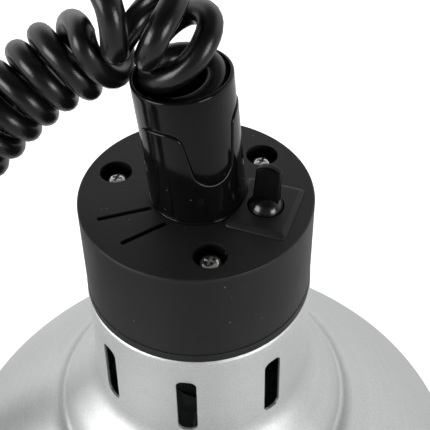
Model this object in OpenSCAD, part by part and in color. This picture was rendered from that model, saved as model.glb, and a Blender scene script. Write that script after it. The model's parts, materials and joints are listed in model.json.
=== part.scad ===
// Pendant food heat lamp: the lamp head standing on its shade's rim, with its curly cord and ceiling cup.
// Millimetres, +Z up. The origin is the centre of the shade's rim, on the surface that it stands on.
// The switch is on the +X side, and the cord leaves towards -X.

/* [Shade] */
// Outside diameter over the rolled rim
rim_d = 273; // [200:1:320]
// Height of the shade, from the rim to the flat top
shade_h = 154; // [120:1:200]
// Thickness of the spun aluminium
shade_wall = 1.2; // [0.8:0.1:2]
// Diameter of the collar at its top
collar_top_d = 93; // [80:0.5:110]
// Diameter of the collar where the flare starts
collar_low_d = 96; // [82:0.5:115]
// Height at which the flare starts
flare_z = 108; // [90:1:125]
// Number of slots round the collar
slot_count = 8; // [4:1:12]
// Width of a collar slot
slot_w = 8.2; // [5:0.1:12]
// Height of a collar slot
slot_h = 32.3; // [20:0.1:40]
// Bottom edge of the collar slots
slot_z = 108.8; // [100:0.1:125]
// Height of the small ledge between the flare and the dome
ledge_z = 74; // [60:1:90]
// Diameter of the rolled wire edge
rim_bead_d = 6; // [3:0.5:10]

/* [Housing] */
// Diameter of the housing at its top
housing_top_d = 90; // [70:1:110]
// Diameter of the housing at its bottom
housing_low_d = 92.3; // [72:0.1:114]
// Height of the housing
housing_h = 44.9; // [30:0.1:70]
// Thickness of the base plate
base_h = 4; // [2:0.5:8]
// Thickness of the cap's roof
roof_h = 3; // [2:0.5:5]
// Thickness of the cap's wall
cap_wall = 2.6; // [1.6:0.1:4]
// Radius of the circle of housing screws
screw_circle_r = 33.5; // [25:0.5:40]
// Diameter of the screw recesses
well_d = 12.6; // [8:0.1:16]
// Depth of the screw recesses
well_depth = 6; // [3:0.5:15]
// Diameter of the screw heads
screw_head_d = 8.5; // [6:0.1:11]

/* [Neck] */
// Lean of the neck towards -X, in degrees
neck_lean = 4.6; // [0:0.1:10]
// Outside diameter of the neck sleeve
sleeve_d = 36.2; // [30:0.1:44]
// Outside diameter of the neck tube
tube_d = 35.2; // [28:0.1:43]
// Inside diameter of the neck
neck_bore_d = 32.8; // [24:0.1:40]
// Height of the sleeve's crests above the housing
crest_h = 40.8; // [20:0.1:60]
// Height of the neck's mouth above the housing
mouth_h = 53.5; // [30:0.5:80]
// Height of the notches' lowest points above the housing
notch_low = 17.2; // [8:0.1:30]
// Radius of the notches' round bottoms
notch_r = 7.85; // [4:0.05:12]
// Lean of the notches' sides outwards, in degrees
notch_lean = 8; // [0:1:20]
// Radius of the round corners at the notches' top
notch_corner_r = 4; // [2:0.1:6]
// Gap between the tongues and the notches
tongue_gap = 0.35; // [0.1:0.05:1]

/* [Switch] */
// Size of the switch plate along the housing's radius
plate_w = 23; // [16:0.5:30]
// Size of the switch plate across the radius
plate_l = 28.5; // [18:0.5:36]
// Height of the switch plate above the housing
plate_h = 1.5; // [0.8:0.1:3]
// Distance of the lever's ball from the housing's axis
switch_r = 27.6; // [22:0.1:34]
// Diameter of the lever's ball
ball_d = 13.2; // [8:0.1:16]
// Width of the lever's paddle at its foot
paddle_w = 10; // [6:0.1:14]
// Thickness of the lever's paddle
paddle_t = 4.2; // [2:0.1:6]
// Height of the lever's top above its pivot
paddle_h = 18; // [10:0.5:26]
// Lean of the lever away from the front at rest, in degrees
lever_lean = 10; // [0:1:15]

/* [Bulb and lampholder] */
// Diameter of the reflector bulb
bulb_d = 122; // [95:1:126]
// Height of the bulb's face above the rim
bulb_face_z = 20; // [8:1:40]
// Diameter of the lampholder's ribbed body
holder_d = 40; // [34:0.5:50]
// Bottom edge of the lampholder
holder_low_z = 92; // [80:1:110]
// Top of the lampholder
holder_top_z = 172; // [165:1:176]

/* [Cord] */
// Diameter of the cord
cord_d = 8.6; // [6:0.1:12]
// Mean radius of the cord's curls
curl_r = 11.3; // [8:0.1:20]

/* [Ceiling cup] */
// Diameter of the ceiling cup
cup_d = 92; // [70:1:120]
// Height of the ceiling cup
cup_h = 45; // [30:1:70]
// Thickness of the ceiling cup's wall
cup_wall = 2.5; // [1.6:0.1:4]
// Distance between the bar's fixing holes
bar_hole_pitch = 60; // [40:1:76]
// Diameter of the bar's fixing holes
bar_hole_d = 4.5; // [3:0.1:6]

/* [Hidden] */
$fn = 96;

// Heights in the housing
roof_top_z = shade_h + housing_h;
roof_low_z = roof_top_z - roof_h;
base_top_z = shade_h + base_h;

// Angles round the housing, from +X
screw_angles = [37, 157, 277];
switch_angle = -22.3;
slot_first_angle = -98.3;
notch_angles = [-64, 56, 176];
bracket_screw_angles = [90, 210, 330];

// Small clearances
fit_gap = 0.05;
slide_gap = 0.15;

// The neck's axis crosses the roof here
neck_foot_x = 0.9;
nipple_r = 7;
nipple_low_z = 186;
neck_floor_h = 3;
grip_top_h = 9;
cord_bore_r = cord_d / 2 + 0.15;

// Points of a circle's arc from one angle to another, both ends included
function arc(centre, r, from, to, steps) = [
    for (i = [0:steps])
        let(a = from + (to - from) * i / steps)
        centre + r * [cos(a), sin(a)]
];

// Points of a shallow arc from p to q, bulging by h to the left of the way from p to q
function bulge(p, q, h, steps) =
    let(chord = norm(q - p), along = (q - p) / chord, left = [-along[1], along[0]])
    let(r = (chord * chord / 4 + h * h) / (2 * h), half = asin(chord / 2 / r))
    [
        for (i = [0:steps])
            let(a = -half + 2 * half * i / steps)
            (p + q) / 2 + along * r * sin(a) + left * (r * cos(a) - r + h)
    ];

// The points of an open outline moved to its right by t
function beside(points, t) = [
    for (i = [0:len(points) - 1])
        let(a = points[max(i - 1, 0)], b = points[min(i + 1, len(points) - 1)])
        let(d = (b - a) / norm(b - a))
        points[i] + t * [d[1], -d[0]]
];

function turned_back(points) = [for (i = [len(points) - 1:-1:0]) points[i]];

// A rectangle with round corners, centred
module round_rect(w, h, r) {
    square([w, h - 2 * r], center = true);
    square([w - 2 * r, h], center = true);
    for (x = [-1, 1], y = [-1, 1])
        translate([x * (w / 2 - r), y * (h / 2 - r)])
            circle(r);
}

// A plain ring with its axis on Z
module ring(r_out, r_in, z0, z1) {
    translate([0, 0, z0])
        difference() {
            cylinder(r = r_out, h = z1 - z0);
            translate([0, 0, -1])
                cylinder(r = r_in, h = z1 - z0 + 2);
        }
}

// The direction v made square to the unit direction d
function squared(v, d) =
    let(w = v - (v * d) * d)
    w / norm(w);

// A tube's surface from its rings of n corners each, closed at both ends
module tube_from_rings(rings, n) {
    last = len(rings) - 1;
    walls = [
        for (k = [0:last - 1], j = [0:n - 1])
            let(a = k * n + j, b = k * n + (j + 1) % n)
            each [[a, b + n, b], [a, a + n, b + n]]
    ];
    start_cap = [for (j = [1:n - 2]) [0, j, j + 1]];
    end_cap = [for (j = [1:n - 2]) [0, j + 1, j] + last * n * [1, 1, 1]];
    polyhedron([for (r = rings) each r], concat(walls, start_cap, end_cap));
}

// Corners of the ring of n sides round point p, square to direction d, starting towards u
function ring_corners(p, d, u, r, n) =
    let(w = cross(d, u))
    [for (j = [0:n - 1]) p + r * (cos(360 * j / n) * u + sin(360 * j / n) * w)];

// A wire or a thin bar of n sides along a broken line
module bent_bar(points, d, n = 8) {
    last = len(points) - 1;
    ways = [
        for (i = [0:last])
            let(a = points[max(i - 1, 0)], b = points[i], c = points[min(i + 1, last)])
            let(before = i > 0 ? (b - a) / norm(b - a) : [0, 0, 0])
            let(after = i < last ? (c - b) / norm(c - b) : [0, 0, 0])
            (before + after) / norm(before + after)
    ];
    first_side = squared(abs(ways[0][0]) > 0.7 ? [0, 1, 0] : [1, 0, 0], ways[0]);
    sides = [for (k = 0, v = first_side; k <= last; k = k + 1, v = k <= last ? squared(v, ways[k]) : v) v];
    tube_from_rings([for (i = [0:last]) ring_corners(points[i], ways[i], sides[i], d / 2, n)], n);
}

// A pan-head screw pointing down from the seat at z = 0
module screw(head_d, head_h, shank_d, length) {
    difference() {
        cylinder(d = head_d, h = head_h, $fn = 48);
        translate([0, 0, head_h - 1.4])
            for (a = [0, 90])
                rotate(a)
                    translate([-head_d / 4, -0.6, 0])
                        cube([head_d / 2, 1.2, 3]);
    }
    translate([0, 0, -length])
        cylinder(d = shank_d, h = length, $fn = 32);
}

// The outer line of the shade, from the collar's top to the rolled rim
shoulder_r = 2;
collar_top_r = collar_top_d / 2;
collar_low_r = collar_low_d / 2;
flare_r = 19;
flare_run = 4.43;
flare_end = [collar_low_r + flare_r * (1 - cos(45)), flare_z - flare_r * sin(45)];
round_start = flare_end + flare_run * [1, -1];
round_r = 29.5;
round_centre = round_start - round_r * [cos(45), sin(45)];
round_end_angle = asin((ledge_z - round_centre[1]) / round_r);
ledge_in_r = round_centre[0] + round_r * cos(round_end_angle);
ledge_w = 6;
ledge_out = [ledge_in_r + ledge_w, ledge_z - 1];
rim_r = rim_d / 2;
bead_r = rim_bead_d / 2;
bead_centre = [rim_r - bead_r, bead_r];
// The dome runs onto the rolled edge at this angle of the edge's circle
bead_start_angle = 36;
bead_open_angle = acos((bead_r - shade_wall) / bead_r);
dome_end = bead_centre + bead_r * [cos(bead_start_angle), sin(bead_start_angle)];
dome_bulge = 2.9;
holder_hole_r = 16.5;

shade_line = concat(
    arc([collar_top_r - shoulder_r, shade_h - shoulder_r], shoulder_r, 90, 2, 4),
    arc([collar_low_r + flare_r, flare_z], flare_r, 180, 225, 5),
    arc(round_centre, round_r, 45, round_end_angle, 4),
    [ledge_out],
    bulge(ledge_out + [1, -1.2], dome_end, dome_bulge, 8)
);

rolled_edge = arc(
    bead_centre, bead_r, bead_start_angle, bead_start_angle - 360 + bead_open_angle, 13
);
shade_inside = beside(shade_line, shade_wall);

module shade() {
    color("silver")
        difference() {
            rotate_extrude($fn = 144)
                polygon(concat(
                    [[holder_hole_r, shade_h]],
                    shade_line,
                    [for (i = [1:len(rolled_edge) - 1]) rolled_edge[i]],
                    turned_back([for (i = [0:len(shade_inside) - 2]) shade_inside[i]]),
                    [[holder_hole_r, shade_h - shade_wall]]
                ));
            for (i = [0:slot_count - 1])
                rotate(slot_first_angle + i * 360 / slot_count)
                    translate([collar_top_r - 8, 0, slot_z + slot_h / 2])
                        rotate([90, 0, 90])
                            linear_extrude(16)
                                round_rect(slot_w, slot_h, 3);
            for (a = bracket_screw_angles)
                rotate(a)
                    translate([bracket_screw_r, 0, shade_h - 5])
                        cylinder(r = 2.2, h = 10, $fn = 32);
        }
}

// Housing
bracket_screw_r = 26;
post_r = 5.5;
housing_screw_d = 4;

module housing_base() {
    color("#1c1c1d")
        difference() {
            translate([0, 0, shade_h])
                cylinder(d1 = housing_low_d, d2 = housing_low_d - 0.1, h = base_h);
            translate([0, 0, shade_h - 1])
                cylinder(r = holder_hole_r, h = base_h + 2);
            for (a = screw_angles)
                rotate(a)
                    translate([screw_circle_r, 0, shade_h + 1])
                        cylinder(d = housing_screw_d + 2 * fit_gap, h = base_h, $fn = 32);
            for (a = bracket_screw_angles)
                rotate(a)
                    translate([bracket_screw_r, 0, shade_h - 1])
                        cylinder(r = 2.2, h = base_h + 2, $fn = 32);
        }
}

// A vent slot through the roof, with its round ends centred on points a and b
module vent_slot(a, b) {
    translate([(a[0] + b[0]) / 2, (a[1] + b[1]) / 2, roof_low_z - 1])
        rotate(atan2(b[1] - a[1], b[0] - a[0]))
            linear_extrude(roof_h + 2)
                round_rect(norm(b - a) + vent_w, vent_w, 0.46 * vent_w);
}

vent_w = 2;
edge_r = 0.9;
cap_low_r = housing_low_d / 2 - 0.2;
cap_top_r = housing_top_d / 2;
cap_bore_r = cap_low_r - cap_wall;
well_floor_z = roof_top_z - well_depth;
switch_hole_r = 9;

module housing_cap() {
    color("#1c1c1d")
        difference() {
            union() {
                difference() {
                    rotate_extrude()
                        polygon(concat(
                            [[0, base_top_z], [cap_low_r, base_top_z]],
                            arc([cap_top_r - edge_r, roof_top_z - edge_r], edge_r, 0, 90, 4),
                            [[0, roof_top_z]]
                        ));
                    translate([0, 0, base_top_z - 1])
                        cylinder(r1 = cap_bore_r, r2 = cap_top_r - cap_wall, h = roof_low_z - base_top_z + 1);
                }
                for (a = screw_angles)
                    rotate(a)
                        translate([screw_circle_r, 0, base_top_z])
                            cylinder(r = post_r, h = housing_h - base_h - 1);
                for (a = screw_angles)
                    rotate(a)
                        translate([screw_circle_r, 0, well_floor_z - 2.4])
                            cylinder(r = well_d / 2 + 1.8, h = well_depth);
            }
            for (a = screw_angles)
                rotate(a)
                    translate([screw_circle_r, 0, 0]) {
                        translate([0, 0, well_floor_z])
                            cylinder(d = well_d, h = well_depth + 1, $fn = 64);
                        translate([0, 0, base_top_z - 1])
                            cylinder(d = housing_screw_d + 2 * fit_gap, h = housing_h, $fn = 32);
                    }
            vent_slot([-35.6, -13.0], [-17.4, -8.3]);
            vent_slot([-26.5, -25.6], [-11.7, -16.7]);
            translate([neck_foot_x, 0, roof_low_z - 1])
                cylinder(r = nipple_r + fit_gap, h = roof_h + 2);
            rotate(switch_angle)
                translate([switch_r, 0, roof_low_z - 1])
                    cylinder(r = switch_hole_r, h = roof_h + 2);
        }
}

module housing_screws() {
    color("lightgray")
        for (a = screw_angles)
            rotate(a)
                translate([screw_circle_r, 0, well_floor_z])
                    rotate(20)
                        screw(screw_head_d, 3, housing_screw_d, well_floor_z - shade_h - 1.2);
}

// Neck
module on_neck() {
    translate([neck_foot_x, 0, roof_top_z])
        rotate([0, -neck_lean, 0])
            children();
}

// Centres of a notch's round bottom and of the round corner at its top
notch_centre = [0, notch_low + notch_r];
side_rise = crest_h - notch_corner_r + (notch_corner_r + notch_r) * sin(notch_lean) - notch_centre[1];
notch_corner = [
    (notch_r + notch_corner_r) * cos(notch_lean) + side_rise * tan(notch_lean),
    crest_h - notch_corner_r
];

// One half of a tongue's outline, seen along the radius, drawn in by g all round
// Its corner stops just short of level and turns straight up past the crest, so that it cuts cleanly
corner_stop_angle = 104;
over_crest = 2;
function tongue_half(g) = concat(
    arc(notch_centre, notch_r - g, -90, -notch_lean, 12),
    arc(notch_corner, notch_corner_r + g, 180 - notch_lean, corner_stop_angle, 8),
    [[
        notch_corner[0] + (notch_corner_r + g) * cos(corner_stop_angle),
        crest_h + g + over_crest
    ]]
);

module tongue_prism(angle, g) {
    half = tongue_half(g);
    rotate(angle)
        translate([4, 0, 0])
            rotate([90, 0, 90])
                linear_extrude(18)
                    polygon(concat(half, [for (p = turned_back(half)) if (p[0] > 0.01) [-p[0], p[1]]]));
}

foot_lip_r = sleeve_d / 2 + 0.5;

module neck_sleeve() {
    color("#101011") {
        intersection() {
            on_neck()
                difference() {
                    union() {
                        translate([0, 0, -3])
                            cylinder(d = sleeve_d, h = crest_h + 3);
                        translate([0, 0, -3])
                            cylinder(r = foot_lip_r, h = 4.2);
                    }
                    translate([0, 0, neck_floor_h])
                        cylinder(d = neck_bore_d, h = crest_h);
                    translate([0, 0, -4])
                        cylinder(r = cord_bore_r, h = neck_floor_h + 5, $fn = 48);
                    for (a = notch_angles)
                        tongue_prism(a, 0);
                }
            translate([-40, -40, roof_top_z])
                cube([80, 80, 60]);
        }
        difference() {
            translate([neck_foot_x, 0, nipple_low_z])
                cylinder(r = nipple_r, h = roof_top_z - nipple_low_z + 0.5);
            translate([neck_foot_x, 0, nipple_low_z - 1])
                cylinder(r = cord_bore_r, h = 20, $fn = 48);
        }
    }
}

module neck_tube() {
    crest = crest_h + tongue_gap;
    color("#0c0c0d")
        on_neck() {
            difference() {
                union() {
                    translate([0, 0, crest])
                        cylinder(d = tube_d, h = mouth_h - crest - 0.6);
                    translate([0, 0, mouth_h - 0.6])
                        cylinder(d1 = tube_d, d2 = tube_d - 1.2, h = 0.6);
                }
                translate([0, 0, crest - 1])
                    cylinder(d = neck_bore_d, h = mouth_h);
            }
            for (a = notch_angles)
                intersection() {
                    ring(tube_d / 2, neck_bore_d / 2, notch_low, crest + 0.01);
                    tongue_prism(a, tongue_gap);
                }
        }
}

module neck_nut() {
    color("silver")
        translate([neck_foot_x, 0, roof_low_z - 4])
            difference() {
                cylinder(d = 24, h = 4, $fn = 6);
                translate([0, 0, -1])
                    cylinder(r = nipple_r + fit_gap, h = 6);
            }
}

module neck_grip() {
    color("#151516")
        on_neck()
            ring(8, cord_bore_r, neck_floor_h, grip_top_h);
}

cord_end_z = 180;

module cord_tail() {
    top = cord_points[0] - fit_gap * directions[0];
    color("#0f0f10")
        bent_bar([[neck_foot_x, 0, cord_end_z], [neck_foot_x, 0, roof_top_z], top], cord_d, 24);
}

// The collar that keeps the cord from being pulled out
module cord_collar() {
    color("silver")
        difference() {
            translate([neck_foot_x, 0, 0])
                ring(8.5, cord_d / 2 + fit_gap, nipple_low_z - 5, nipple_low_z);
            translate([neck_foot_x, -4, nipple_low_z - 2.5])
                rotate([90, 0, 0])
                    cylinder(r = 1.3, h = 6, $fn = 24);
        }
}

module collar_screw() {
    color("lightgray")
        translate([neck_foot_x, -4.7, nipple_low_z - 2.5])
            rotate([90, 0, 0])
                cylinder(r = 1.25, h = 4.6, $fn = 24);
}

// Switch
pivot_z = roof_top_z + 0.1;
ball_r = ball_d / 2;
ball_hole_r = ball_r + 0.3;
switch_body_low_z = 176;
collar_top_z = roof_top_z - 0.05;

module at_switch(z) {
    rotate(switch_angle)
        translate([switch_r, 0, z])
            children();
}

module switch_plate() {
    color("#1c1c1d")
        difference() {
            at_switch(roof_top_z)
                intersection() {
                    linear_extrude(plate_h)
                        round_rect(plate_w, plate_l, 1.6);
                    rotate([90, 0, 0])
                        linear_extrude(plate_l, center = true)
                            polygon([
                                [-plate_w / 2, 0], [plate_w / 2, 0],
                                [plate_w / 2 - 2.2, plate_h], [-plate_w / 2 + 2.2, plate_h]
                            ]);
                    rotate([90, 0, 90])
                        linear_extrude(plate_w, center = true)
                            polygon([
                                [-plate_l / 2, 0], [plate_l / 2, 0],
                                [plate_l / 2 - 2.2, plate_h], [-plate_l / 2 + 2.2, plate_h]
                            ]);
                }
            at_switch(roof_top_z - 1)
                cylinder(r = ball_hole_r, h = plate_h + 2, $fn = 64);
            on_neck()
                translate([0, 0, -4])
                    cylinder(r = foot_lip_r + slide_gap, h = 10);
        }
}

module switch_body() {
    body_w = 15;
    body_l = 26;
    color("#26231f")
        difference() {
            union() {
                at_switch(switch_body_low_z)
                    translate([-body_w / 2, -body_l / 2, 0])
                        cube([body_w, body_l, roof_low_z - switch_body_low_z]);
                at_switch(roof_low_z - 1)
                    cylinder(r = switch_hole_r - slide_gap, h = collar_top_z - roof_low_z + 1);
            }
            at_switch(pivot_z)
                sphere(r = ball_r + slide_gap, $fn = 64);
            at_switch(pivot_z)
                translate([0, 0, -0.5])
                    cylinder(r = ball_r + slide_gap, h = 5, $fn = 64);
            at_switch(switch_body_low_z + 4)
                translate([-2.6, -9, 0])
                    cube([5.2, 18, pivot_z - switch_body_low_z - 6]);
        }
}

module switch_terminals() {
    color("goldenrod")
        for (y = [-7, 7])
            at_switch(switch_body_low_z - 6)
                translate([-2.4, y - 0.4, 0])
                    cube([4.8, 0.8, 6]);
}

// Front outline of the paddle, x along the housing's radius and y up from the pivot
module paddle_front() {
    top_w = paddle_w - 1.4;
    corner = 2.2;
    polygon(concat(
        [[-paddle_w / 2, 2.5], [paddle_w / 2, 2.5]],
        arc([top_w / 2 - corner, paddle_h - corner - 0.6], corner, 0, 80, 5),
        arc([-top_w / 2 + corner, paddle_h - corner - 0.6], corner, 100, 180, 5)
    ));
}

// Side outline of the paddle, with a round top
module paddle_side() {
    r = paddle_t / 2;
    polygon(concat(
        [[-r - 0.4, 0], [r + 0.4, 0]],
        arc([0, paddle_h - r], r, 0, 180, 12)
    ));
}

stem_low = 15;

module switch_lever() {
    color("#0d0d0e")
        at_switch(pivot_z)
            rotate([-lever_lean, 0, 0]) {
                sphere(r = ball_r, $fn = 64);
                intersection() {
                    rotate([90, 0, 0])
                        linear_extrude(paddle_t + 2, center = true)
                            paddle_front();
                    rotate([90, 0, 90])
                        linear_extrude(paddle_w + 2, center = true)
                            paddle_side();
                }
                translate([0, 0, -stem_low])
                    cylinder(r = 1.8, h = stem_low, $fn = 32);
            }
}

// Lampholder
upper_body_r = 16.4;
shoulder_z = shade_h - shade_wall - 2;
socket_r = 15.2;
skirt_bore_r = 18;
skirt_top_z = 112;
socket_roof_z = 160;
shell_r = 14.1;
bulb_top_z = 148;
wire_hole_x = 6;
wire_d = 2.2;

module holder_body() {
    color("#141414")
        difference() {
            union() {
                translate([0, 0, holder_low_z])
                    cylinder(d = holder_d, h = shoulder_z - holder_low_z);
                translate([0, 0, shoulder_z - 1])
                    cylinder(r = upper_body_r, h = holder_top_z - shoulder_z + 1);
            }
            translate([0, 0, holder_low_z - 1])
                cylinder(r = skirt_bore_r, h = skirt_top_z - holder_low_z + 1);
            translate([0, 0, holder_low_z])
                cylinder(r = socket_r, h = socket_roof_z - holder_low_z);
            for (x = [-1, 1])
                translate([x * wire_hole_x, 0, socket_roof_z - 1])
                    cylinder(d = wire_d + 0.6, h = 20, $fn = 24);
        }
}

module holder_bracket() {
    color("silver")
        difference() {
            ring(31, upper_body_r + slide_gap, shoulder_z, shoulder_z + 2);
            for (a = bracket_screw_angles)
                rotate(a)
                    translate([bracket_screw_r, 0, shoulder_z - 1])
                        cylinder(r = 2 + fit_gap, h = 4, $fn = 32);
        }
}

module holder_nut() {
    color("#141414")
        ring(21, upper_body_r + fit_gap, base_top_z, base_top_z + 4);
}

module bracket_screws() {
    color("lightgray")
        for (a = bracket_screw_angles)
            rotate(a)
                translate([bracket_screw_r, 0, base_top_z])
                    screw(7, 2.5, 4, base_top_z - shoulder_z + 1.5);
}

module holder_core() {
    color("white")
        difference() {
            translate([0, 0, bulb_top_z + 1])
                cylinder(r = socket_r - slide_gap, h = socket_roof_z - bulb_top_z - 1);
            for (x = [-1, 1])
                translate([x * wire_hole_x, 0, bulb_top_z])
                    cylinder(d = wire_d + 0.6, h = 20, $fn = 24);
            translate([0, 0, bulb_top_z])
                cylinder(r = 1.5 + fit_gap, h = 7, $fn = 24);
        }
}

module holder_shell() {
    color("goldenrod")
        ring(shell_r, shell_r - 0.6, skirt_top_z + 1, bulb_top_z + 1);
}

module holder_contact() {
    color("goldenrod") {
        translate([-4, -2.5, bulb_top_z])
            cube([8, 5, 1]);
        translate([0, 0, bulb_top_z + 0.5])
            cylinder(r = 1.5, h = 6, $fn = 24);
    }
}

// Bulb
bulb_cap_low_z = 119;
bulb_r = bulb_d / 2;
bulb_wall = 1.5;
glass_line = concat(
    [[12.6, bulb_cap_low_z + 12], [12.6, bulb_cap_low_z], [13, 112], [15.6, 107], [16.8, 102], [17.4, 92]],
    bulge([18.4, 89], [bulb_r - 3, bulb_face_z + 24], 8, 8),
    arc([bulb_r - 3, bulb_face_z + 18], 3, 60, -60, 5),
    bulge([bulb_r - 5, bulb_face_z + 10], [0, bulb_face_z], 3, 8)
);

glass_inner_line = beside(glass_line, bulb_wall);
glass_end_z = glass_inner_line[1][1];

module bulb_glass() {
    last = len(glass_inner_line) - 1;
    color("#7b1512")
        rotate_extrude($fn = 96)
            polygon(concat(
                [[0, bulb_cap_low_z + 12]],
                glass_line,
                [[0, bulb_face_z + bulb_wall]],
                [for (i = [last - 1:-1:1]) glass_inner_line[i]],
                [[0, glass_end_z]]
            ));
}

module bulb_cap() {
    color("silver")
        difference() {
            translate([0, 0, bulb_cap_low_z])
                cylinder(r = 13.2, h = 27);
            translate([0, 0, bulb_cap_low_z - 1])
                cylinder(r = 12.7, h = 14);
        }
}

module bulb_tip() {
    color("silver")
        translate([0, 0, bulb_cap_low_z + 27])
            cylinder(r1 = 6, r2 = 4.5, h = bulb_top_z - bulb_cap_low_z - 27, $fn = 48);
}

module bulb_stem() {
    color("lightcyan")
        translate([0, 0, 84])
            cylinder(r1 = 4, r2 = 7, h = glass_end_z - 84, $fn = 32);
}

module bulb_filament() {
    color("dimgray")
        for (side = [-1, 1])
            bent_bar([[side * 2.5, 0, 84], [side * 2.5, 0, 82], [side * 9, 0, 74], [side * 9, 0, 66],
                [side * 0.4, 0, 62]], 1);
}

// Wiring in the housing
block_angle = 245;
block_r = 27.5;
block_top_z = base_top_z + 12;

module terminal_block() {
    color("whitesmoke")
        rotate(block_angle)
            translate([block_r - 6, -10, base_top_z])
                cube([12, 20, 12]);
}

module wire_live() {
    color("saddlebrown")
        bent_bar([[3, -1, cord_end_z], [3, -1, 178.5], [4, -4, 175.5], [14, -15, 174.6], [20, -17.5, 168],
            [23, -17, 166.5], [23, -17, 170]], wire_d);
}

module wire_return() {
    color("black")
        bent_bar([[28.2, -4, 170], [28.2, -4, 166.5], [24, -3, 165], [20.5, -1, 168], [18.5, 0, 173.5],
            [13, 0, 175.6], [wire_hole_x, 0, 176], [wire_hole_x, 0, 161]], wire_d);
}

module wire_neutral() {
    color("royalblue") {
        bent_bar([[-0.8, -2, cord_end_z], [-0.8, -2, 178.5], [-3, -6, 176], [-7.1, -16, 175],
            [-7.1, -27, 174], [-7.1, -27, block_top_z]], wire_d);
        bent_bar([[-16.1, -22.8, block_top_z], [-16.1, -22.8, 174], [-14, -6, 177], [-wire_hole_x, 0, 177],
            [-wire_hole_x, 0, 161]], wire_d);
    }
}

module wire_earth() {
    color("green")
        bent_bar([[0.5, 2.5, cord_end_z], [0.5, 2.5, 178.5], [0, 6, 176], [0, 20, 172], [0, 26, 166],
            [0, bracket_screw_r, base_top_z + 2.5]], wire_d);
}

// The cord's route: the centre line of its curls as [x, y, z, turns so far]. The turn count is 0 just below
// the neck's mouth, and at a whole turn the cord is on the side that faces the front.
cord_route = [
    [-0.6, 0, 217.1, -2.9], [-1.3, 0, 226.4, -2], [-2.1, 0, 236.2, -1], [-2.9, 0, 246, 0],
    [-2.8, 0.8, 262, 1.1], [-8.7, -3.6, 272.3, 2.1], [-23.5, -2.4, 275.4, 3.1], [-33.6, 8.7, 256.3, 4.1],
    [-43.7, 11.6, 250.9, 5.1], [-52.4, 11.6, 244.7, 6.1], [-60.4, 11, 238.7, 7.1], [-68.2, 9.8, 231.9, 8.1],
    [-75.7, 8.2, 224.9, 9.1], [-83.4, 6.6, 217.2, 10.1], [-103, 5, 194.5, 12.9], [-119, 8, 167, 15.8],
    [-129.5, 12, 138, 18.8], [-136, 17, 106, 22.1], [-144, 22, 73, 25.5], [-159, 25.5, 41, 28.6],
    [-184, 26, 20.5, 31.2], [-212, 18, 16, 33.4], [-233, -1, 19, 35.3], [-241, -22, 30, 37.2],
    [-240, -44, 46, 39], [-240, -53, 46, 39.6]
];

// How far the loops lean over along the route, for each part of their width along X, Y and Z,
// by turns so far
lean_x = [
    [0, 0], [1.1, 0.7], [2.1, 0.8], [3.1, 1.15], [4.1, 1.6], [5.1, 0.9], [6.1, 0.4], [7.1, 0.2], [9.1, 0]
];
lean_y = [[1.1, 0], [2.1, -0.4], [3.1, 0], [4.1, 0.4], [7.1, 0.4], [9.1, 0.25], [14, 0]];
lean_z = [
    [0, 0], [1.1, -0.7], [2.1, -0.7], [3.1, -0.2], [4.1, 0.5], [5.1, 0.4], [6.1, 0], [8.1, -0.15], [14, 0]
];
turn_shift = 0.04;
rings_per_turn = 8;
sides = 6;
end_turns = 0.9;

// Slope of the route at point i, per turn
function route_slope(i) =
    let(a = cord_route[max(i - 1, 0)], b = cord_route[min(i + 1, len(cord_route) - 1)])
    [b[0] - a[0], b[1] - a[1], b[2] - a[2]] / (b[3] - a[3]);

function stretch_at(t) = max([for (i = [0:len(cord_route) - 2]) if (i == 0 || cord_route[i][3] <= t) i]);

function place(p) = [p[0], p[1], p[2]];

// Point of the smooth centre line at t turns
function route_point(t) =
    let(i = stretch_at(t), a = cord_route[i], b = cord_route[i + 1], h = b[3] - a[3], s = (t - a[3]) / h)
    (2 * s^3 - 3 * s^2 + 1) * place(a) + (s^3 - 2 * s^2 + s) * h * route_slope(i)
    + (3 * s^2 - 2 * s^3) * place(b) + (s^3 - s^2) * h * route_slope(i + 1);

function route_direction(t) =
    let(i = stretch_at(t), a = cord_route[i], b = cord_route[i + 1], h = b[3] - a[3], s = (t - a[3]) / h)
    let(d = (6 * s^2 - 6 * s) / h * (place(a) - place(b)) + (3 * s^2 - 4 * s + 1) * route_slope(i)
        + (3 * s^2 - 2 * s) * route_slope(i + 1))
    d / norm(d);

first_turn = cord_route[0][3];
last_turn = cord_route[len(cord_route) - 1][3];
steps = round((last_turn - first_turn) * rings_per_turn);
turns = [for (k = [0:steps]) first_turn + k / rings_per_turn];
directions = [for (t = turns) route_direction(t)];

// A side direction carried along the route without twist
carried = [
    for (k = 0, v = squared([1, 0, 0], directions[0]); k <= steps;
        k = k + 1, v = k <= steps ? squared(v, directions[k]) : v) v
];

function eased(x) = let(s = min(max(x, 0), 1)) s * s * (3 - 2 * s);

// Direction from the centre line to the cord at step k, in an upright loop
function outward(k) =
    let(a = 360 * (turns[k] + turn_shift) - 90)
    cos(a) * carried[k] + sin(a) * cross(directions[k], carried[k]);

function loop_lean(t) = [lookup(t, lean_x), lookup(t, lean_y), lookup(t, lean_z)];

function curl_radius(t) =
    curl_r * min(eased((t - first_turn) / end_turns), eased((last_turn - t) / end_turns));

curl_points = [
    for (k = [0:steps])
        let(t = turns[k], side = outward(k))
        route_point(t) + curl_radius(t) * (side + (side * loop_lean(t)) * directions[k])
];
cord_points = concat(
    [curl_points[0] - cord_d * directions[0]],
    curl_points,
    [curl_points[steps] + cord_d * directions[steps]]
);
cord_sides = concat([outward(0)], [for (k = [0:steps]) outward(k)], [outward(steps)]);
last_point = len(cord_points) - 1;

function cord_direction(k) =
    k == 0 ? directions[0]
    : k == last_point ? directions[steps]
    : let(d = cord_points[k + 1] - cord_points[k - 1]) d / norm(d);

function cord_ring(k) =
    let(d = cord_direction(k))
    ring_corners(cord_points[k], d, squared(cord_sides[k], d), cord_d / 2, sides);

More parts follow.
